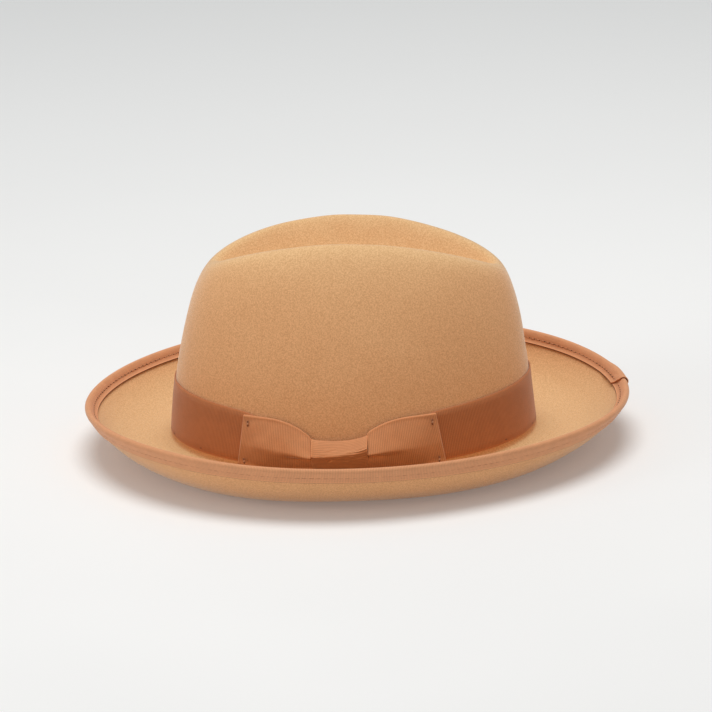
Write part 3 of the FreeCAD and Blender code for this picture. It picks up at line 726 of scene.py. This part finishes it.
# each material by name: the function that makes it, and what that function is given
RECIPES = {
    # the felt's colour, its paler clouds, and the paler colour painted on parts that face up as a highlight
    "felt": (felt_material, FELT_COLOUR, (0.82, 0.455, 0.22), (0.80, 0.50, 0.25)),
    "band_ribbon": (grosgrain_material, BAND_COLOUR, BAND_WIDTH),
    # 0.57: painted shade on the bow's parts that face down
    "bow_ribbon": (grosgrain_material, BOW_RIBBON_PAINTED_LIGHTER, BAND_WIDTH, 0.57),
    "binding_ribbon": (grosgrain_material, BINDING_COLOUR, BINDING_WIDTH, 1.0, 0.2, EDGE_AND_GAP_SHADE_COLOUR),
    "inner_ribbon": (grosgrain_material, BAND_COLOUR),
    "binding_thread": (tack_material, THREAD_COLOUR, NEEDLE_HOLE_SHADE, STITCH_LENGTH, 0.85),
    "binding_thread_under": (thread_material, (0.7, 0.32, 0.155)),
    "ribbon_thread": (thread_material, (0.12, 0.035, 0.014)),
    "tack_thread": (tack_material, TACK_COLOUR, TACK_DIMPLE_SHADE, 3.1, 1.25),
    "pale_thread": (thread_material, (0.72, 0.6, 0.45)),
    "sweatband_leather": (leather_material, (0.3, 0.14, 0.06)),
    "reed_plastic": (reed_material, (0.75, 0.72, 0.66)),
    "tape_cloth": (woven_material, (0.45, 0.26, 0.14), 0.5),
    "tab_cloth": (woven_material, (0.8, 0.76, 0.68), 0.5),
    "lining_satin": (satin_material, (0.66, 0.5, 0.33)),
    "piping_cloth": (satin_material, BAND_COLOUR),
}
MATERIALS = {name: make(name, *values) for name, (make, *values) in RECIPES.items()}

# each piece by the CAD node that it replaces: its name, its material, and its slot where that differs
PIECES = {
    "felt_body": ("felt_hat_body", "felt"),
    "hat_band": ("hat_band_ribbon", "band_ribbon"),
    "band_stitches": ("band_stitch_threads", "ribbon_thread"),
    "bow_loop_front": ("bow_loop_front_ribbon", "bow_ribbon"),
    "bow_loop_back": ("bow_loop_back_ribbon", "bow_ribbon"),
    "bow_knot": ("bow_knot_ribbon", "bow_ribbon"),
    "bow_tacks": ("bow_tack_threads", "tack_thread", "ribbon_thread"),
    "brim_binding": ("brim_binding_ribbon", "binding_ribbon"),
    "binding_stitches_top": ("binding_stitch_threads_top", "binding_thread"),
    "binding_stitches_under": ("binding_stitch_threads_under", "binding_thread_under", "binding_thread"),
    "sweatband": ("sweatband_leather", "sweatband_leather"),
    "sweatband_reed": ("sweatband_reed_core", "reed_plastic"),
    "reed_tape": ("reed_tape_cloth", "tape_cloth"),
    "sweatband_stitches": ("sweatband_stitch_threads", "pale_thread"),
    "crown_seam_stitches": ("crown_seam_threads", "pale_thread"),
    "lining_hem_stitches": ("lining_hem_threads", "pale_thread"),
    "sweatband_bow": ("sweatband_bow_ribbon", "inner_ribbon"),
    "sweatband_bow_knot": ("sweatband_bow_knot_ribbon", "inner_ribbon"),
    "size_tab": ("size_tab_cloth", "tab_cloth"),
    "lining_side": ("lining_side_satin", "lining_satin"),
    "lining_tip": ("lining_tip_satin", "lining_satin"),
    "lining_piping": ("lining_piping_cord", "piping_cloth"),
}


# ---- felt
def make_felt():
    """Crown and brim in one piece of felt, with its rounded edge inside the binding."""
    columns = 400
    net = felt_net()
    back_net = net - grid_normals(net, True) * FELT
    places = np.linspace(0, 1, (len(net) - 3) * 3 + 1)
    outer = round_surface(net, places, columns)[:-1]
    inner = round_surface(back_net, places, columns)[:-1]
    angle = round_angles(columns)[None]
    place = places[:-1, None]
    on_brim = smooth_step(place, 0.05, 0.12) * smooth_step(place, 0.36, 0.30)
    on_crown = smooth_step(outer[..., 2], 34, 50) * (place > 0.4)
    swell = waves(angle, place * 6, 14, 0.22, 9, seed=3) * (on_brim + on_crown)
    moved = grid_normals(outer, True) * swell[..., None]
    outer = outer + moved
    inner = inner + moved
    middle = (outer[0] + inner[0]) / 2
    out_way = unit(outer[0] - outer[1])
    up_way = unit(outer[0] - inner[0])
    edge = [middle + up_way * (math.sin(t) * FELT / 2) + out_way * (math.cos(t) * FELT / 2)
            for t in np.radians([60, 30, 0, -30, -60])]
    grid = np.concatenate([outer[::-1], edge, inner])
    row, column = grid_quads(len(grid), columns, False, True)
    faces = (row * columns + column % columns)[:, ::-1].tolist()
    u = 2 * HEAD_HALF_LENGTH * math.pi * column[:, ::-1] / columns
    uv = np.stack([u, row[:, ::-1] * 2.0], -1).reshape(-1, 2)
    middles = [round_surface(side, [1.0], 4)[0, :1] for side in (net, back_net)]
    top = grid.shape[0] * columns
    base = top - columns
    for k in range(columns):
        after = (k + 1) % columns
        faces.append([top, k, after])
        faces.append([top + 1, base + after, base + k])
    uv = np.concatenate([uv, np.zeros((6 * columns, 2))])
    make_piece("felt_body", np.concatenate([grid.reshape(-1, 3)] + middles), faces, uv)


# ---- band
def band_top(angle):
    """The band's upper edge, which is gathered down behind the bow."""
    x, y = oval(angle, HEAD_HALF_LENGTH, HEAD_HALF_WIDTH, HEAD_POWER)
    away = np.abs(y - BOW_CENTRE_Y)
    gather = BAND_GATHER * (1 - smooth_step(away, GATHER_FLAT, GATHER_FLAT + GATHER_FADE))
    behind = BAND_TUCK * smooth_step(away, BOW_HALF_LENGTH + 1, BOW_HALF_LENGTH - 6)
    return around(angle, **BAND_HEIGHT) - np.where(x < 0, 0, gather + behind)


def make_band():
    """The wide ribbon round the crown's foot. Its upper edge stands off the felt a little, unevenly."""
    columns = 2400
    rows = 13
    top = band_top(round_angles(NET))
    heights = [BAND_FOOT + (top - BAND_FOOT) * share for share in (0, 0.2, 0.4, 0.6, 0.8, 1)]
    net = wall_net(heights, LAYER_GAP + RIBBON / 2)
    across = np.linspace(0, 1, rows)[:, None]
    mid = round_surface(net, across[:, 0], columns)
    ribs, pitch = ribbed(closed_row(mid[rows // 2]), BAND_RIB)
    relief = ribs[:-1] * smooth_step(np.minimum(across, 1 - across), 0.0, 0.1) - RIB_DEPTH / 2
    uneven = 0.5 + 0.5 * np.cos(11 * round_angles(columns) + 1.0)
    loose = 0.28 * smooth_step(across, 0.8, 1.0) * uneven + 0.1 * across
    band = make_sheet("hat_band", mid, RIBBON, relief + loose, -0.5 * loose, pitch, BAND_WIDTH, closed=True)


def make_band_stitches():
    """Small stitches that hold the band's lower edge, all round except behind the bow."""
    def place(angle):
        return wall_point(angle, 2.2 / RIDGE_TOP) + foot_normal(angle) * (LAYER_GAP + RIBBON + 0.1)

    angle = even_angles(place, math.radians(60), math.radians(300), 34.0)
    make_stitches("band_stitches", place, angle, foot_normal(angle), 1.8, 0.1, 0.25, 0.14)


# ---- bow
def side_point(y, height, out):
    """Points by the bow: y along the hat, height above the crown's foot, out from the felt."""
    share = height / RIDGE_TOP
    half_length, half_width = wall_size(share)
    y_share = np.minimum(1, np.abs(y - lean(share)) / (half_length + out))
    x = (half_width + out) * (1 - y_share ** HEAD_POWER) ** (1 / HEAD_POWER)
    return np.stack(np.broadcast_arrays(x, y, height), -1)


def loop_distances(end, columns):
    """Distance from the bow's centre along a loop: out on the band, round the fold at its end, and back on
    top. Also how far each point is on the top layer, from 0 to 1."""
    start = 9.0
    leaving = 300
    fold = 0.75                    # half the gap between the two layers at the end
    turn = np.radians(np.linspace(-90, 90, 21)[1:-1])
    returning = columns - leaving - len(turn)
    under = start + (end - fold - start) * np.linspace(0, 1, leaving)
    bend = end - fold + fold * np.cos(turn)
    over = (end - fold) + (start - end + fold) * np.linspace(0, 1, returning)
    on_top = np.concatenate([np.zeros(leaving), (np.sin(turn) + 1) / 2, np.ones(returning)])
    return np.concatenate([under, bend, over], 1), on_top


def loop_rise(distance, across, inside):
    """How far the top layer bulges out: low at its edges, and highest along a crest near the knot."""
    crest_at = 0.42
    edge = 1.7
    crest = 3.1 + 2.7 * smooth_step(distance, 55, 40) + 1.7 * smooth_step(distance, 46, 18)
    above = np.maximum(across - crest_at, 0) / (1 - crest_at)
    below = np.maximum(crest_at - across, 0) / crest_at
    rise = edge + (crest - edge) * (1 - above ** 1.3 - below ** 1.5)
    return rise - inside * (rise - 2.6) * 0.55


def make_loop(side):
    """One loop: the ribbon leaves the knot along the band, folds back at the end and returns on top.
    Beside the knot it is tucked into a crease."""
    loop = LOOPS[side]
    rows = 41
    across = np.linspace(0, 1, rows)[:, None]
    distance, on_top = loop_distances(loop["end"] - loop["slant"] * across, 760)
    past_knot = distance - KNOT_HALF_LENGTH
    near = np.clip(past_knot / LOOP_SPREAD, 0, 1)
    inside = smooth_step(past_knot, 1.0, -2.5)
    upper = LOOP_EDGES[1] - loop["dip"] * (1 - near) ** 2.8
    upper = upper - inside * np.maximum(0, upper - LOOP_TOP_IN_KNOT)
    lower = LOOP_EDGES[0] + 0.9 * (1 - near) ** 2.2
    height = lower + (upper - lower) * across
    closeness = smooth_step(distance, 46, KNOT_HALF_LENGTH)
    above = height - loop["tuck"] - 0.04 * past_knot
    crease = np.where(above > 0, 1.9 * np.exp(-np.maximum(above, 0) / 4.0),
                      -3.1 * np.exp(np.minimum(above, 0) / 5.0))
    soften = np.abs(np.tanh(above / (0.3 + 2.2 * (1 - closeness))))
    tuck = closeness ** 1.6 * crease * soften * (1 - 0.5 * inside)
    edge_curl = 0.25 * smooth_step(across, 0.92, 1.0)
    out = BOW_REST + on_top * (loop_rise(distance, across, inside) - BOW_REST + tuck + edge_curl)
    out = np.maximum(out, BOW_REST + on_top * 0.9)
    uneven = 0.16 * waves(distance / 9.0, across * 2.0, 6, 1.0, 4, seed=11 + loop["way"])
    out = out + uneven * on_top * smooth_step(distance, 53, 46)
    mid = side_point(BOW_CENTRE_Y + loop["way"] * distance, height, out)
    if loop["way"] > 0:
        mid = mid[::-1]
    ribs, pitch = ribbed(mid[rows // 2], BAND_RIB)
    margin = np.minimum(across, 1 - across)
    relief = ribs * smooth_step(margin, 0.0, 0.05) - RIB_DEPTH / 2 + 0.09 * smooth_step(margin, 0.035, 0.0)
    ribbon = make_sheet("bow_loop_" + side, mid, BOW_RIBBON, relief, relief, pitch, BAND_WIDTH)


def make_loops():
    for side in LOOPS:
        make_loop(side)


def creases(place, s, count, levels, depth, seed):
    """Small crumples that fan across a pulled ribbon."""
    rng = np.random.default_rng(seed)
    total = np.zeros(np.broadcast(place, s).shape)
    for _ in range(count):
        centre = rng.uniform(-0.9, 0.9)
        level = rng.uniform(*levels)
        tilt = 0.10 * centre + rng.uniform(-0.14, 0.14)
        reach = rng.uniform(0.08, 0.24)
        line = place - level - tilt * (s - centre)
        total += rng.uniform(-1, 1) * np.exp(-(line / 0.016) ** 2 - ((s - centre) / reach) ** 2)
    return total * depth


def make_knot():
    """The ribbon wrapped round the bow's middle, from behind the top edge to behind the lower edge."""
    columns = 170
    places = np.linspace(0, 1, 150)
    height, out = (clamped_weights(len(KNOT_PATH), places) @ np.array(KNOT_PATH)).T
    s = np.linspace(-1, 1, columns)[:, None]
    ridge = hump(places - 0.51, 0.12)
    pulled = smooth_step(height, 6, 15) * (-0.7 + 0.5 * s + 2.0 * s ** 2 * (0.75 + 0.25 * s))
    height = height + pulled + ridge * (1.25 * s - 0.4)
    out = out + ridge * (0.3 * (1 - s ** 2) + 0.12 * np.sin(5 * s + 1)) - 1.3 * s ** 12
    out = out + creases(places, s, 30, (0.30, 0.74), 0.45, seed=21)
    y = BOW_CENTRE_Y + KNOT_HALF_LENGTH * s + 0.25 * np.sin(places * 9) * np.abs(s) ** 3
    mid = side_point(y, height, out)
    ribs, pitch = ribbed(mid[columns // 2], BAND_RIB, 0.02)
    relief = ribs * smooth_step(1 - np.abs(s), 0.0, 0.06) - 0.01
    knot = make_sheet("bow_knot", mid, BOW_RIBBON, relief, relief, pitch, BAND_WIDTH)


def make_tacks():
    """A short upright stitch at each outer corner of the bow, which pulls the ribbon into two dimples; the
    dimples' shade is painted on the stitch's ends.
    """
    s = np.linspace(-1, 1, 13)
    paths = []
    for loop in LOOPS.values():
        for height, across, inset, rise in ((2.0, 0.09, 3.1, 3.5), (22.3, 0.87, 2.6, 2.55)):
            distance = loop["end"] - loop["slant"] * across - inset
            y = BOW_CENTRE_Y + loop["way"] * (distance + 0.12 * s)
            out = rise + 0.5 * (1 - np.abs(s) ** 3) + 0.15
            paths.append(side_point(y, height + TACK_LENGTH / 2 * s, out))
    make_threads("bow_tacks", np.array(paths), 0.52, 8)


# ---- binding
def lap_lift(angle):
    """How far the binding's upper end stands off the felt, for its lower end to pass under it."""
    past = np.degrees(angle) - BINDING_LAP_ANGLE
    return (RIBBON + 0.2) * smooth_step(past, LAP * 1.7, LAP * 0.9) + 0.35 * smooth_step(past, 1.2, -0.5)


def binding_mid(base, lift):
    """Middle of the folded ribbon: upper leg from its lip to the edge, round it, and back under the brim.
    Its lips stand off the felt, its stitches pull a groove, and its edge is a soft bead. Its ends are cut
    on a slant, so each line across it has its own angles."""
    gap = LAYER_GAP + RIBBON / 2
    past_edge = 0.1
    at_end = smooth_step(np.degrees(base - base[0]), 9, 0)
    swell = 0.12 * waves(base * 9, 0 * base, 7, 1.0, 12, seed=5)
    leg = np.linspace(BINDING_LEG, 0, 15)
    rows = []

    def add_row(slant, distance, offset, past_end=0.0):
        angle = base + np.radians(LAP_SLANT) * (slant / BINDING_LEG - 0.35) * at_end
        rows.append(brim_section(angle, [distance], offset, past_end)[0])

    for distance in leg:
        from_lip = BINDING_LEG - distance
        stand = 0.50 * hump(from_lip, 1.0) - 0.04 * hump(from_lip - STITCH_INSET, 0.7)
        bead = 0.10 * hump(distance, 1.6) + 0.22 * hump(distance - 1.4, 1.3)
        add_row(distance, distance, gap + lift + stand + bead + swell * min(1.0, from_lip / 3 + 0.4))
    radius = FELT / 2 + gap + lift + past_edge
    for turn in np.radians([15, 35, 55, 75, 90, 105, 125, 145, 165]):
        add_row(0.0, 0.0, radius * np.cos(turn) - FELT / 2, past_edge + radius * np.sin(turn))
    for distance in leg[::-1]:
        from_lip = BINDING_LEG - distance
        stand = 0.12 * hump(from_lip, 1.0) - 0.02 * hump(from_lip - STITCH_INSET, 0.7)
        bead = 0.1 * hump(distance, 1.6)
        add_row(-distance * 0.5, distance, -FELT - gap - lift - stand - bead + 0.5 * swell)
    return np.array(rows)


def make_binding():
    """The ribbon once round the brim. The end that comes round the far side laps over the start."""
    start = math.radians(BINDING_LAP_ANGLE)
    angle = start + (2 * math.pi + math.radians(LAP)) * np.linspace(0, 1, 2600)
    mid = binding_mid(angle, lap_lift(angle))
    ribs, pitch = ribbed(mid[len(mid) // 2], BINDING_RIB, 0.04)
    across = np.linspace(0, 1, len(mid))[:, None]
    relief = ribs * smooth_step(np.minimum(across, 1 - across), 0.0, 0.07) - 0.02
    binding = make_sheet("brim_binding", mid, BOW_RIBBON, relief, 0.0, pitch, BINDING_WIDTH)


def make_binding_stitches():
    """The machine stitches through both legs of the binding, as seen above and below."""
    start = math.radians(BINDING_LAP_ANGLE + 2.2)
    end = math.radians(BINDING_LAP_ANGLE + 358.5)
    for side, base, way, arch, sink, radius in (("top", 0.0, 1, 0.03, -0.02, 0.36),
                                                ("under", -FELT, -1, 0.02, 0.3, 0.12)):
        def surface(angle, height=0.0):
            offset = base + way * (LAYER_GAP + RIBBON - 0.05 + lap_lift(angle) + height)
            return brim_section(angle, [BINDING_LEG - STITCH_INSET], offset)[0]

        angle = even_angles(surface, start, end, STITCH_PITCH)
        normal = surface(angle, 1.0) - surface(angle)
        make_stitches("binding_stitches_" + side, surface, angle, normal, STITCH_LENGTH, arch, sink, radius)


# ---- inside the crown
def inside_grid(angle, heights, offsets):
    """Points inside the crown, (rows, columns, 3). Heights and offsets from the felt's outside have a row
    for each row of points."""
    share = np.asarray(heights) / wall_point(angle, 1.0)[:, 2]
    step = 0.01
    rows = wall_point(angle, share)
    along = wall_point(angle + step, share) - wall_point(angle - step, share)
    outward = unit(np.cross(along, rows - wall_point(angle, share - step)))
    return rows + outward * np.asarray(offsets)[..., None]


def make_ring(node, profile, columns, samples=None):
    """A closed profile of (offset, height) pairs, smoothed where samples is given, carried round the inside
    of the crown."""
    profile = np.array(profile)
    if samples:
        profile = closed_weights(len(profile), samples) @ profile
    grid = inside_grid(round_angles(columns), profile[:, 1:], profile[:, :1])
    row, column = grid_quads(len(grid), columns, True, True)
    faces = (row % len(grid) * columns + column % columns).tolist()
    girth = length_along(closed_row(profile), 0)
    u = 2 * math.pi * HEAD_HALF_LENGTH * column / columns
    uv = np.stack([u, girth[row]], -1).reshape(-1, 2)
    return make_piece(node, grid.reshape(-1, 3), faces, uv)


def circle(offset, height, radius, count=14):
    turn = round_angles(count)
    return np.stack([offset + radius * np.cos(turn), height + radius * np.sin(turn)], 1)


def make_sweatband():
    """The leather strip, with its two ends meeting at the back and a pressed line below its upper edge."""
    angle = np.radians(90.3 + (360 - 0.6) * np.linspace(0, 1, 900))
    height = np.concatenate([np.linspace(0.5, 28, 34), np.linspace(28.4, SWEATBAND_HEIGHT, 14)])[:, None]
    mid = inside_grid(angle, height, SWEATBAND_BACK - LEATHER / 2)
    line = 0.22 * hump(height - 29.6, 0.45) + 0.12 * hump(height - 27.9, 0.3)
    rounding = 0.3 * smooth_step(height, SWEATBAND_HEIGHT - 0.8, SWEATBAND_HEIGHT)
    folds = waves(angle[None] * 3, height / 16, 9, 0.07, 14, seed=31)
    leather = make_sheet("sweatband", mid, LEATHER * 0.92, -rounding, folds - (line + rounding))


def make_reed():
    make_ring("sweatband_reed", circle(SWEATBAND_BACK - 0.5, -1.0, 0.9), 240)


def make_reed_tape():
    """The folded tape: up behind the leather, under the reed, and up the leather's face."""
    tape = make_ring("reed_tape", TAPE_PROFILE[::-1], 500, 60)


def make_inside_row(node, height, offset, line_offset, pitch, length, arch, radius, start=0, sweep=360):
    """A row of stitches inside the crown, evenly spaced along a line at line_offset. Angles in degrees."""
    def line(at):
        return lambda angle: inside_grid(angle, [[height]], at)[0]

    first = math.radians(start)
    angle = even_angles(line(line_offset), first, first + math.radians(sweep), pitch)
    if sweep == 360:
        angle = angle[:-1]
    make_stitches(node, line(offset), angle, -foot_normal(angle), length, arch, 0.22, radius)


def make_inside_stitches():
    """Leather to tape, tape to felt, and the lining's hem to the felt."""
    make_inside_row("sweatband_stitches", 1.8, -5.2, -5.2, 3.6, 2.4, 0.1, 0.16, start=97, sweep=346)
    make_inside_row("crown_seam_stitches", 3.6, -2.6, -2.74, 9.0, 6.0, -0.02, 0.12)
    make_inside_row("lining_hem_stitches", 9.0, -2.95, -3.0, 20.0, 8.0, 0.05, 0.14)


def make_inner_bow():
    """The flat little bow's two loops, over the sweatband's joint."""
    rows = 15
    s = np.linspace(-1, 1, 150)
    across = np.linspace(-1, 1, rows)[:, None]
    height = INNER_BOW_HEIGHT + 4.0 * (0.55 + 0.45 * smooth_step(np.abs(s), 0.0, 0.75)) * across
    puff = 0.55 * np.sin(np.pi * np.clip(np.abs(s) * 1.15, 0, 1)) * (1 - 0.5 * across ** 2)
    pleats = 0.16 * np.cos(across * 7.5) * smooth_step(np.abs(s), 0.65, 0.1)
    angle = math.pi / 2 + 19.0 * s / HEAD_HALF_LENGTH
    mid = inside_grid(angle, height, INNER_BOW_BACK - RIBBON / 2 - puff + pleats)
    ribs, pitch = ribbed(mid[rows // 2], INNER_RIB, 0.05)
    make_sheet("sweatband_bow", mid, BOW_RIBBON, 0.0, ribs - 0.02, pitch)


def make_inner_knot():
    """The middle wrap of the flat little bow."""
    columns = 41
    s = np.linspace(-1, 1, columns)
    place = np.linspace(-1, 1, 45)[:, None]
    height = INNER_BOW_HEIGHT + 3.7 * place * (1 - 0.06 * np.cos(np.pi * s))
    wrap = 1 - np.abs(place) ** 4
    offset = INNER_BOW_BACK - 0.5 - 1.05 * wrap - 0.1 * np.cos(9 * s + 2 * place)
    mid = inside_grid(math.pi / 2 + 3.0 * s / HEAD_HALF_LENGTH, height, offset)
    ribs, pitch = ribbed(mid[:, columns // 2], INNER_RIB, 0.04)
    make_sheet("sweatband_bow_knot", mid, RIBBON * 0.7, 0.0, ribs[:, None] - 0.02, pitch, turned=True)


def make_size_tab():
    """A small cloth tab that stands up behind the sweatband beside its joint. Its free end leans inward."""
    columns = 40
    angle = np.radians(np.linspace(95, 105, columns))
    height = np.linspace(24.0, 41.0, 50)[:, None]
    leaning = 1.6 * smooth_step(height, 33, 41.5)
    curl = 0.35 * np.sin(np.linspace(0, math.pi, columns)) * smooth_step(height, 32, 40)
    tab = make_sheet("size_tab", inside_grid(angle, height, -3.27 - leaning - curl), 0.28)


def lining_offset(height):
    """The lining lies on the felt behind the sweatband and hangs straighter higher up."""
    free = SWEATBAND_HEIGHT + 2
    return -2.6 - 3.6 * np.clip((height - free) / (LINING_TOP - free), 0, 1) ** 1.5


def make_lining_side():
    """The lining's side panel. It falls in soft gathers between the sweatband and the tip's seam."""
    columns = 900
    angle = round_angles(columns)
    height = np.linspace(LINING_HEM, LINING_TOP, 60)[:, None]
    rng = np.random.default_rng(44)
    turn = np.cumsum(rng.uniform(0.75, 1.25, columns // 10))
    phase = np.interp(np.arange(columns), np.linspace(0, columns, len(turn)), turn / turn[-1] * 58)
    gathers = 0.5 - 0.5 * np.cos(2 * math.pi * phase)
    free = smooth_step(height, SWEATBAND_HEIGHT, 50)
    seam = smooth_step(height, LINING_TOP - 14, LINING_TOP - 1)
    broad = waves(angle[None], height / 40, 8, 0.35, 9, seed=45)
    inward = free * (0.55 + broad * (1 - seam)) + gathers * free * (0.35 + 0.45 * seam)
    offset = lining_offset(height) - LINING / 2 - np.maximum(inward, 0)
    side = make_sheet("lining_side", inside_grid(angle, height, offset), LINING, closed=True)


def make_lining_tip():
    """The oval top panel, slightly domed and faintly puckered at its seam."""
    count = 121
    s, t = np.meshgrid(np.linspace(-1, 1, count), np.linspace(-1, 1, count))
    x = s * np.sqrt(1 - t * t / 2)
    y = t * np.sqrt(1 - s * s / 2)
    rho = np.minimum(np.hypot(x, y), 1)
    turn = np.arctan2(y, x)
    rim = wall_point(turn, LINING_TOP / wall_point(turn, 1.0)[..., 2])[..., :2]
    flat = rim * (1 - 5.2 / np.linalg.norm(rim, axis=-1, keepdims=True)) * rho[..., None]
    pucker = 0.3 * np.cos(57 * turn) * smooth_step(rho, 0.72, 0.97)
    slack = waves(turn, rho * 0.8, 6, 0.25, 5, seed=46)
    slack = slack * smooth_step(rho, 0.0, 0.4) * smooth_step(rho, 1.0, 0.6)
    z = LINING_TOP + 0.9 + 4.5 * (1 - rho ** 2) - LINING / 2 + pucker - np.abs(slack)
    tip = make_sheet("lining_tip", np.concatenate([flat, z[..., None]], -1), LINING)


def make_lining_piping():
    radius = 0.8
    centre = lining_offset(LINING_TOP) - LINING - radius - 0.25
    make_ring("lining_piping", circle(centre, LINING_TOP - 0.7, radius), 500)


# ---- camera, lights and floor
def make_camera():
    elevation, yaw, roll = (math.radians(v) for v in (CAMERA_ELEVATION, CAMERA_YAW, CAMERA_ROLL))
    right = Vector((math.sin(yaw), math.cos(yaw), 0))
    level = Vector((math.cos(yaw), -math.sin(yaw), 0))
    back = level * math.cos(elevation) + Vector((0, 0, math.sin(elevation)))
    up = back.cross(right)
    place = Vector(ORIGIN) + back * CAMERA_DISTANCE + right * CAMERA_AIM[0] + up * CAMERA_AIM[1]
    x_axis = right * math.cos(roll) + up * math.sin(roll)
    y_axis = up * math.cos(roll) - right * math.sin(roll)
    camera = bpy.data.objects.new("camera", bpy.data.cameras.new("camera"))
    bpy.context.scene.collection.objects.link(camera)
    turn = Matrix((x_axis, y_axis, back)).transposed().to_4x4()
    camera.matrix_world = Matrix.Translation(place * MM) @ turn
    camera.data.lens = LENS
    camera.data.sensor_width = SENSOR
    camera.data.clip_start = 0.1
    camera.data.clip_end = 50
    bpy.context.scene.camera = camera


def make_light(name, place, size, power):
    """A round soft light that points at the hat."""
    light = bpy.data.lights.new(name, "AREA")
    light.shape = "DISK"
    light.size = size
    light.energy = power
    light.color = (1.0, 0.99, 0.97)
    lamp = bpy.data.objects.new(name, light)
    lamp.location = place
    lamp.rotation_euler = (LIGHT_AIM - Vector(place)).to_track_quat("-Z", "Y").to_euler()
    bpy.context.scene.collection.objects.link(lamp)


def make_studio():
    """A wide pale floor that curves away into the same pale distance, and soft lights."""
    sides = 96
    points = [(0.0, 0.0, 0.0)]
    for radius, rise in FLOOR_RINGS:
        points += [(radius * math.cos(turn), radius * math.sin(turn), rise) for turn in round_angles(sides)]
    faces = [[0, 1 + k, 1 + (k + 1) % sides] for k in range(sides)]
    row, column = grid_quads(len(FLOOR_RINGS), sides, False, True)
    faces += (1 + row * sides + column % sides)[:, [0, 3, 2, 1]].tolist()
    mesh = bpy.data.meshes.new("studio_floor")
    mesh.from_pydata(points, [], faces)
    mesh.polygons.foreach_set("use_smooth", np.ones(len(mesh.polygons), bool))
    mesh.materials.append(floor_material("studio_floor"))
    floor = bpy.data.objects.new("studio_floor", mesh)
    bpy.context.scene.collection.objects.link(floor)
    make_light("overhead", (-0.2, 0.0, 2.4), 1.8, 42.0)
    make_light("fill", (0.9, -2.4, 0.9), 1.2, 8.0)
    world = bpy.data.worlds.new("studio_world")
    world.use_nodes = True
    background = world.node_tree.nodes["Background"]
    background.inputs["Color"].default_value = (0.98, 0.99, 1.0, 1)
    background.inputs["Strength"].default_value = 0.37
    bpy.context.scene.world = world
    bpy.context.scene.view_settings.view_transform = "Standard"


for make in (make_camera, make_studio, make_felt, make_band, make_band_stitches, make_loops, make_knot,
             make_tacks, make_binding, make_binding_stitches, make_sweatband, make_reed, make_reed_tape,
             make_inside_stitches, make_inner_bow, make_inner_knot, make_size_tab, make_lining_side,
             make_lining_tip, make_lining_piping):
    make()
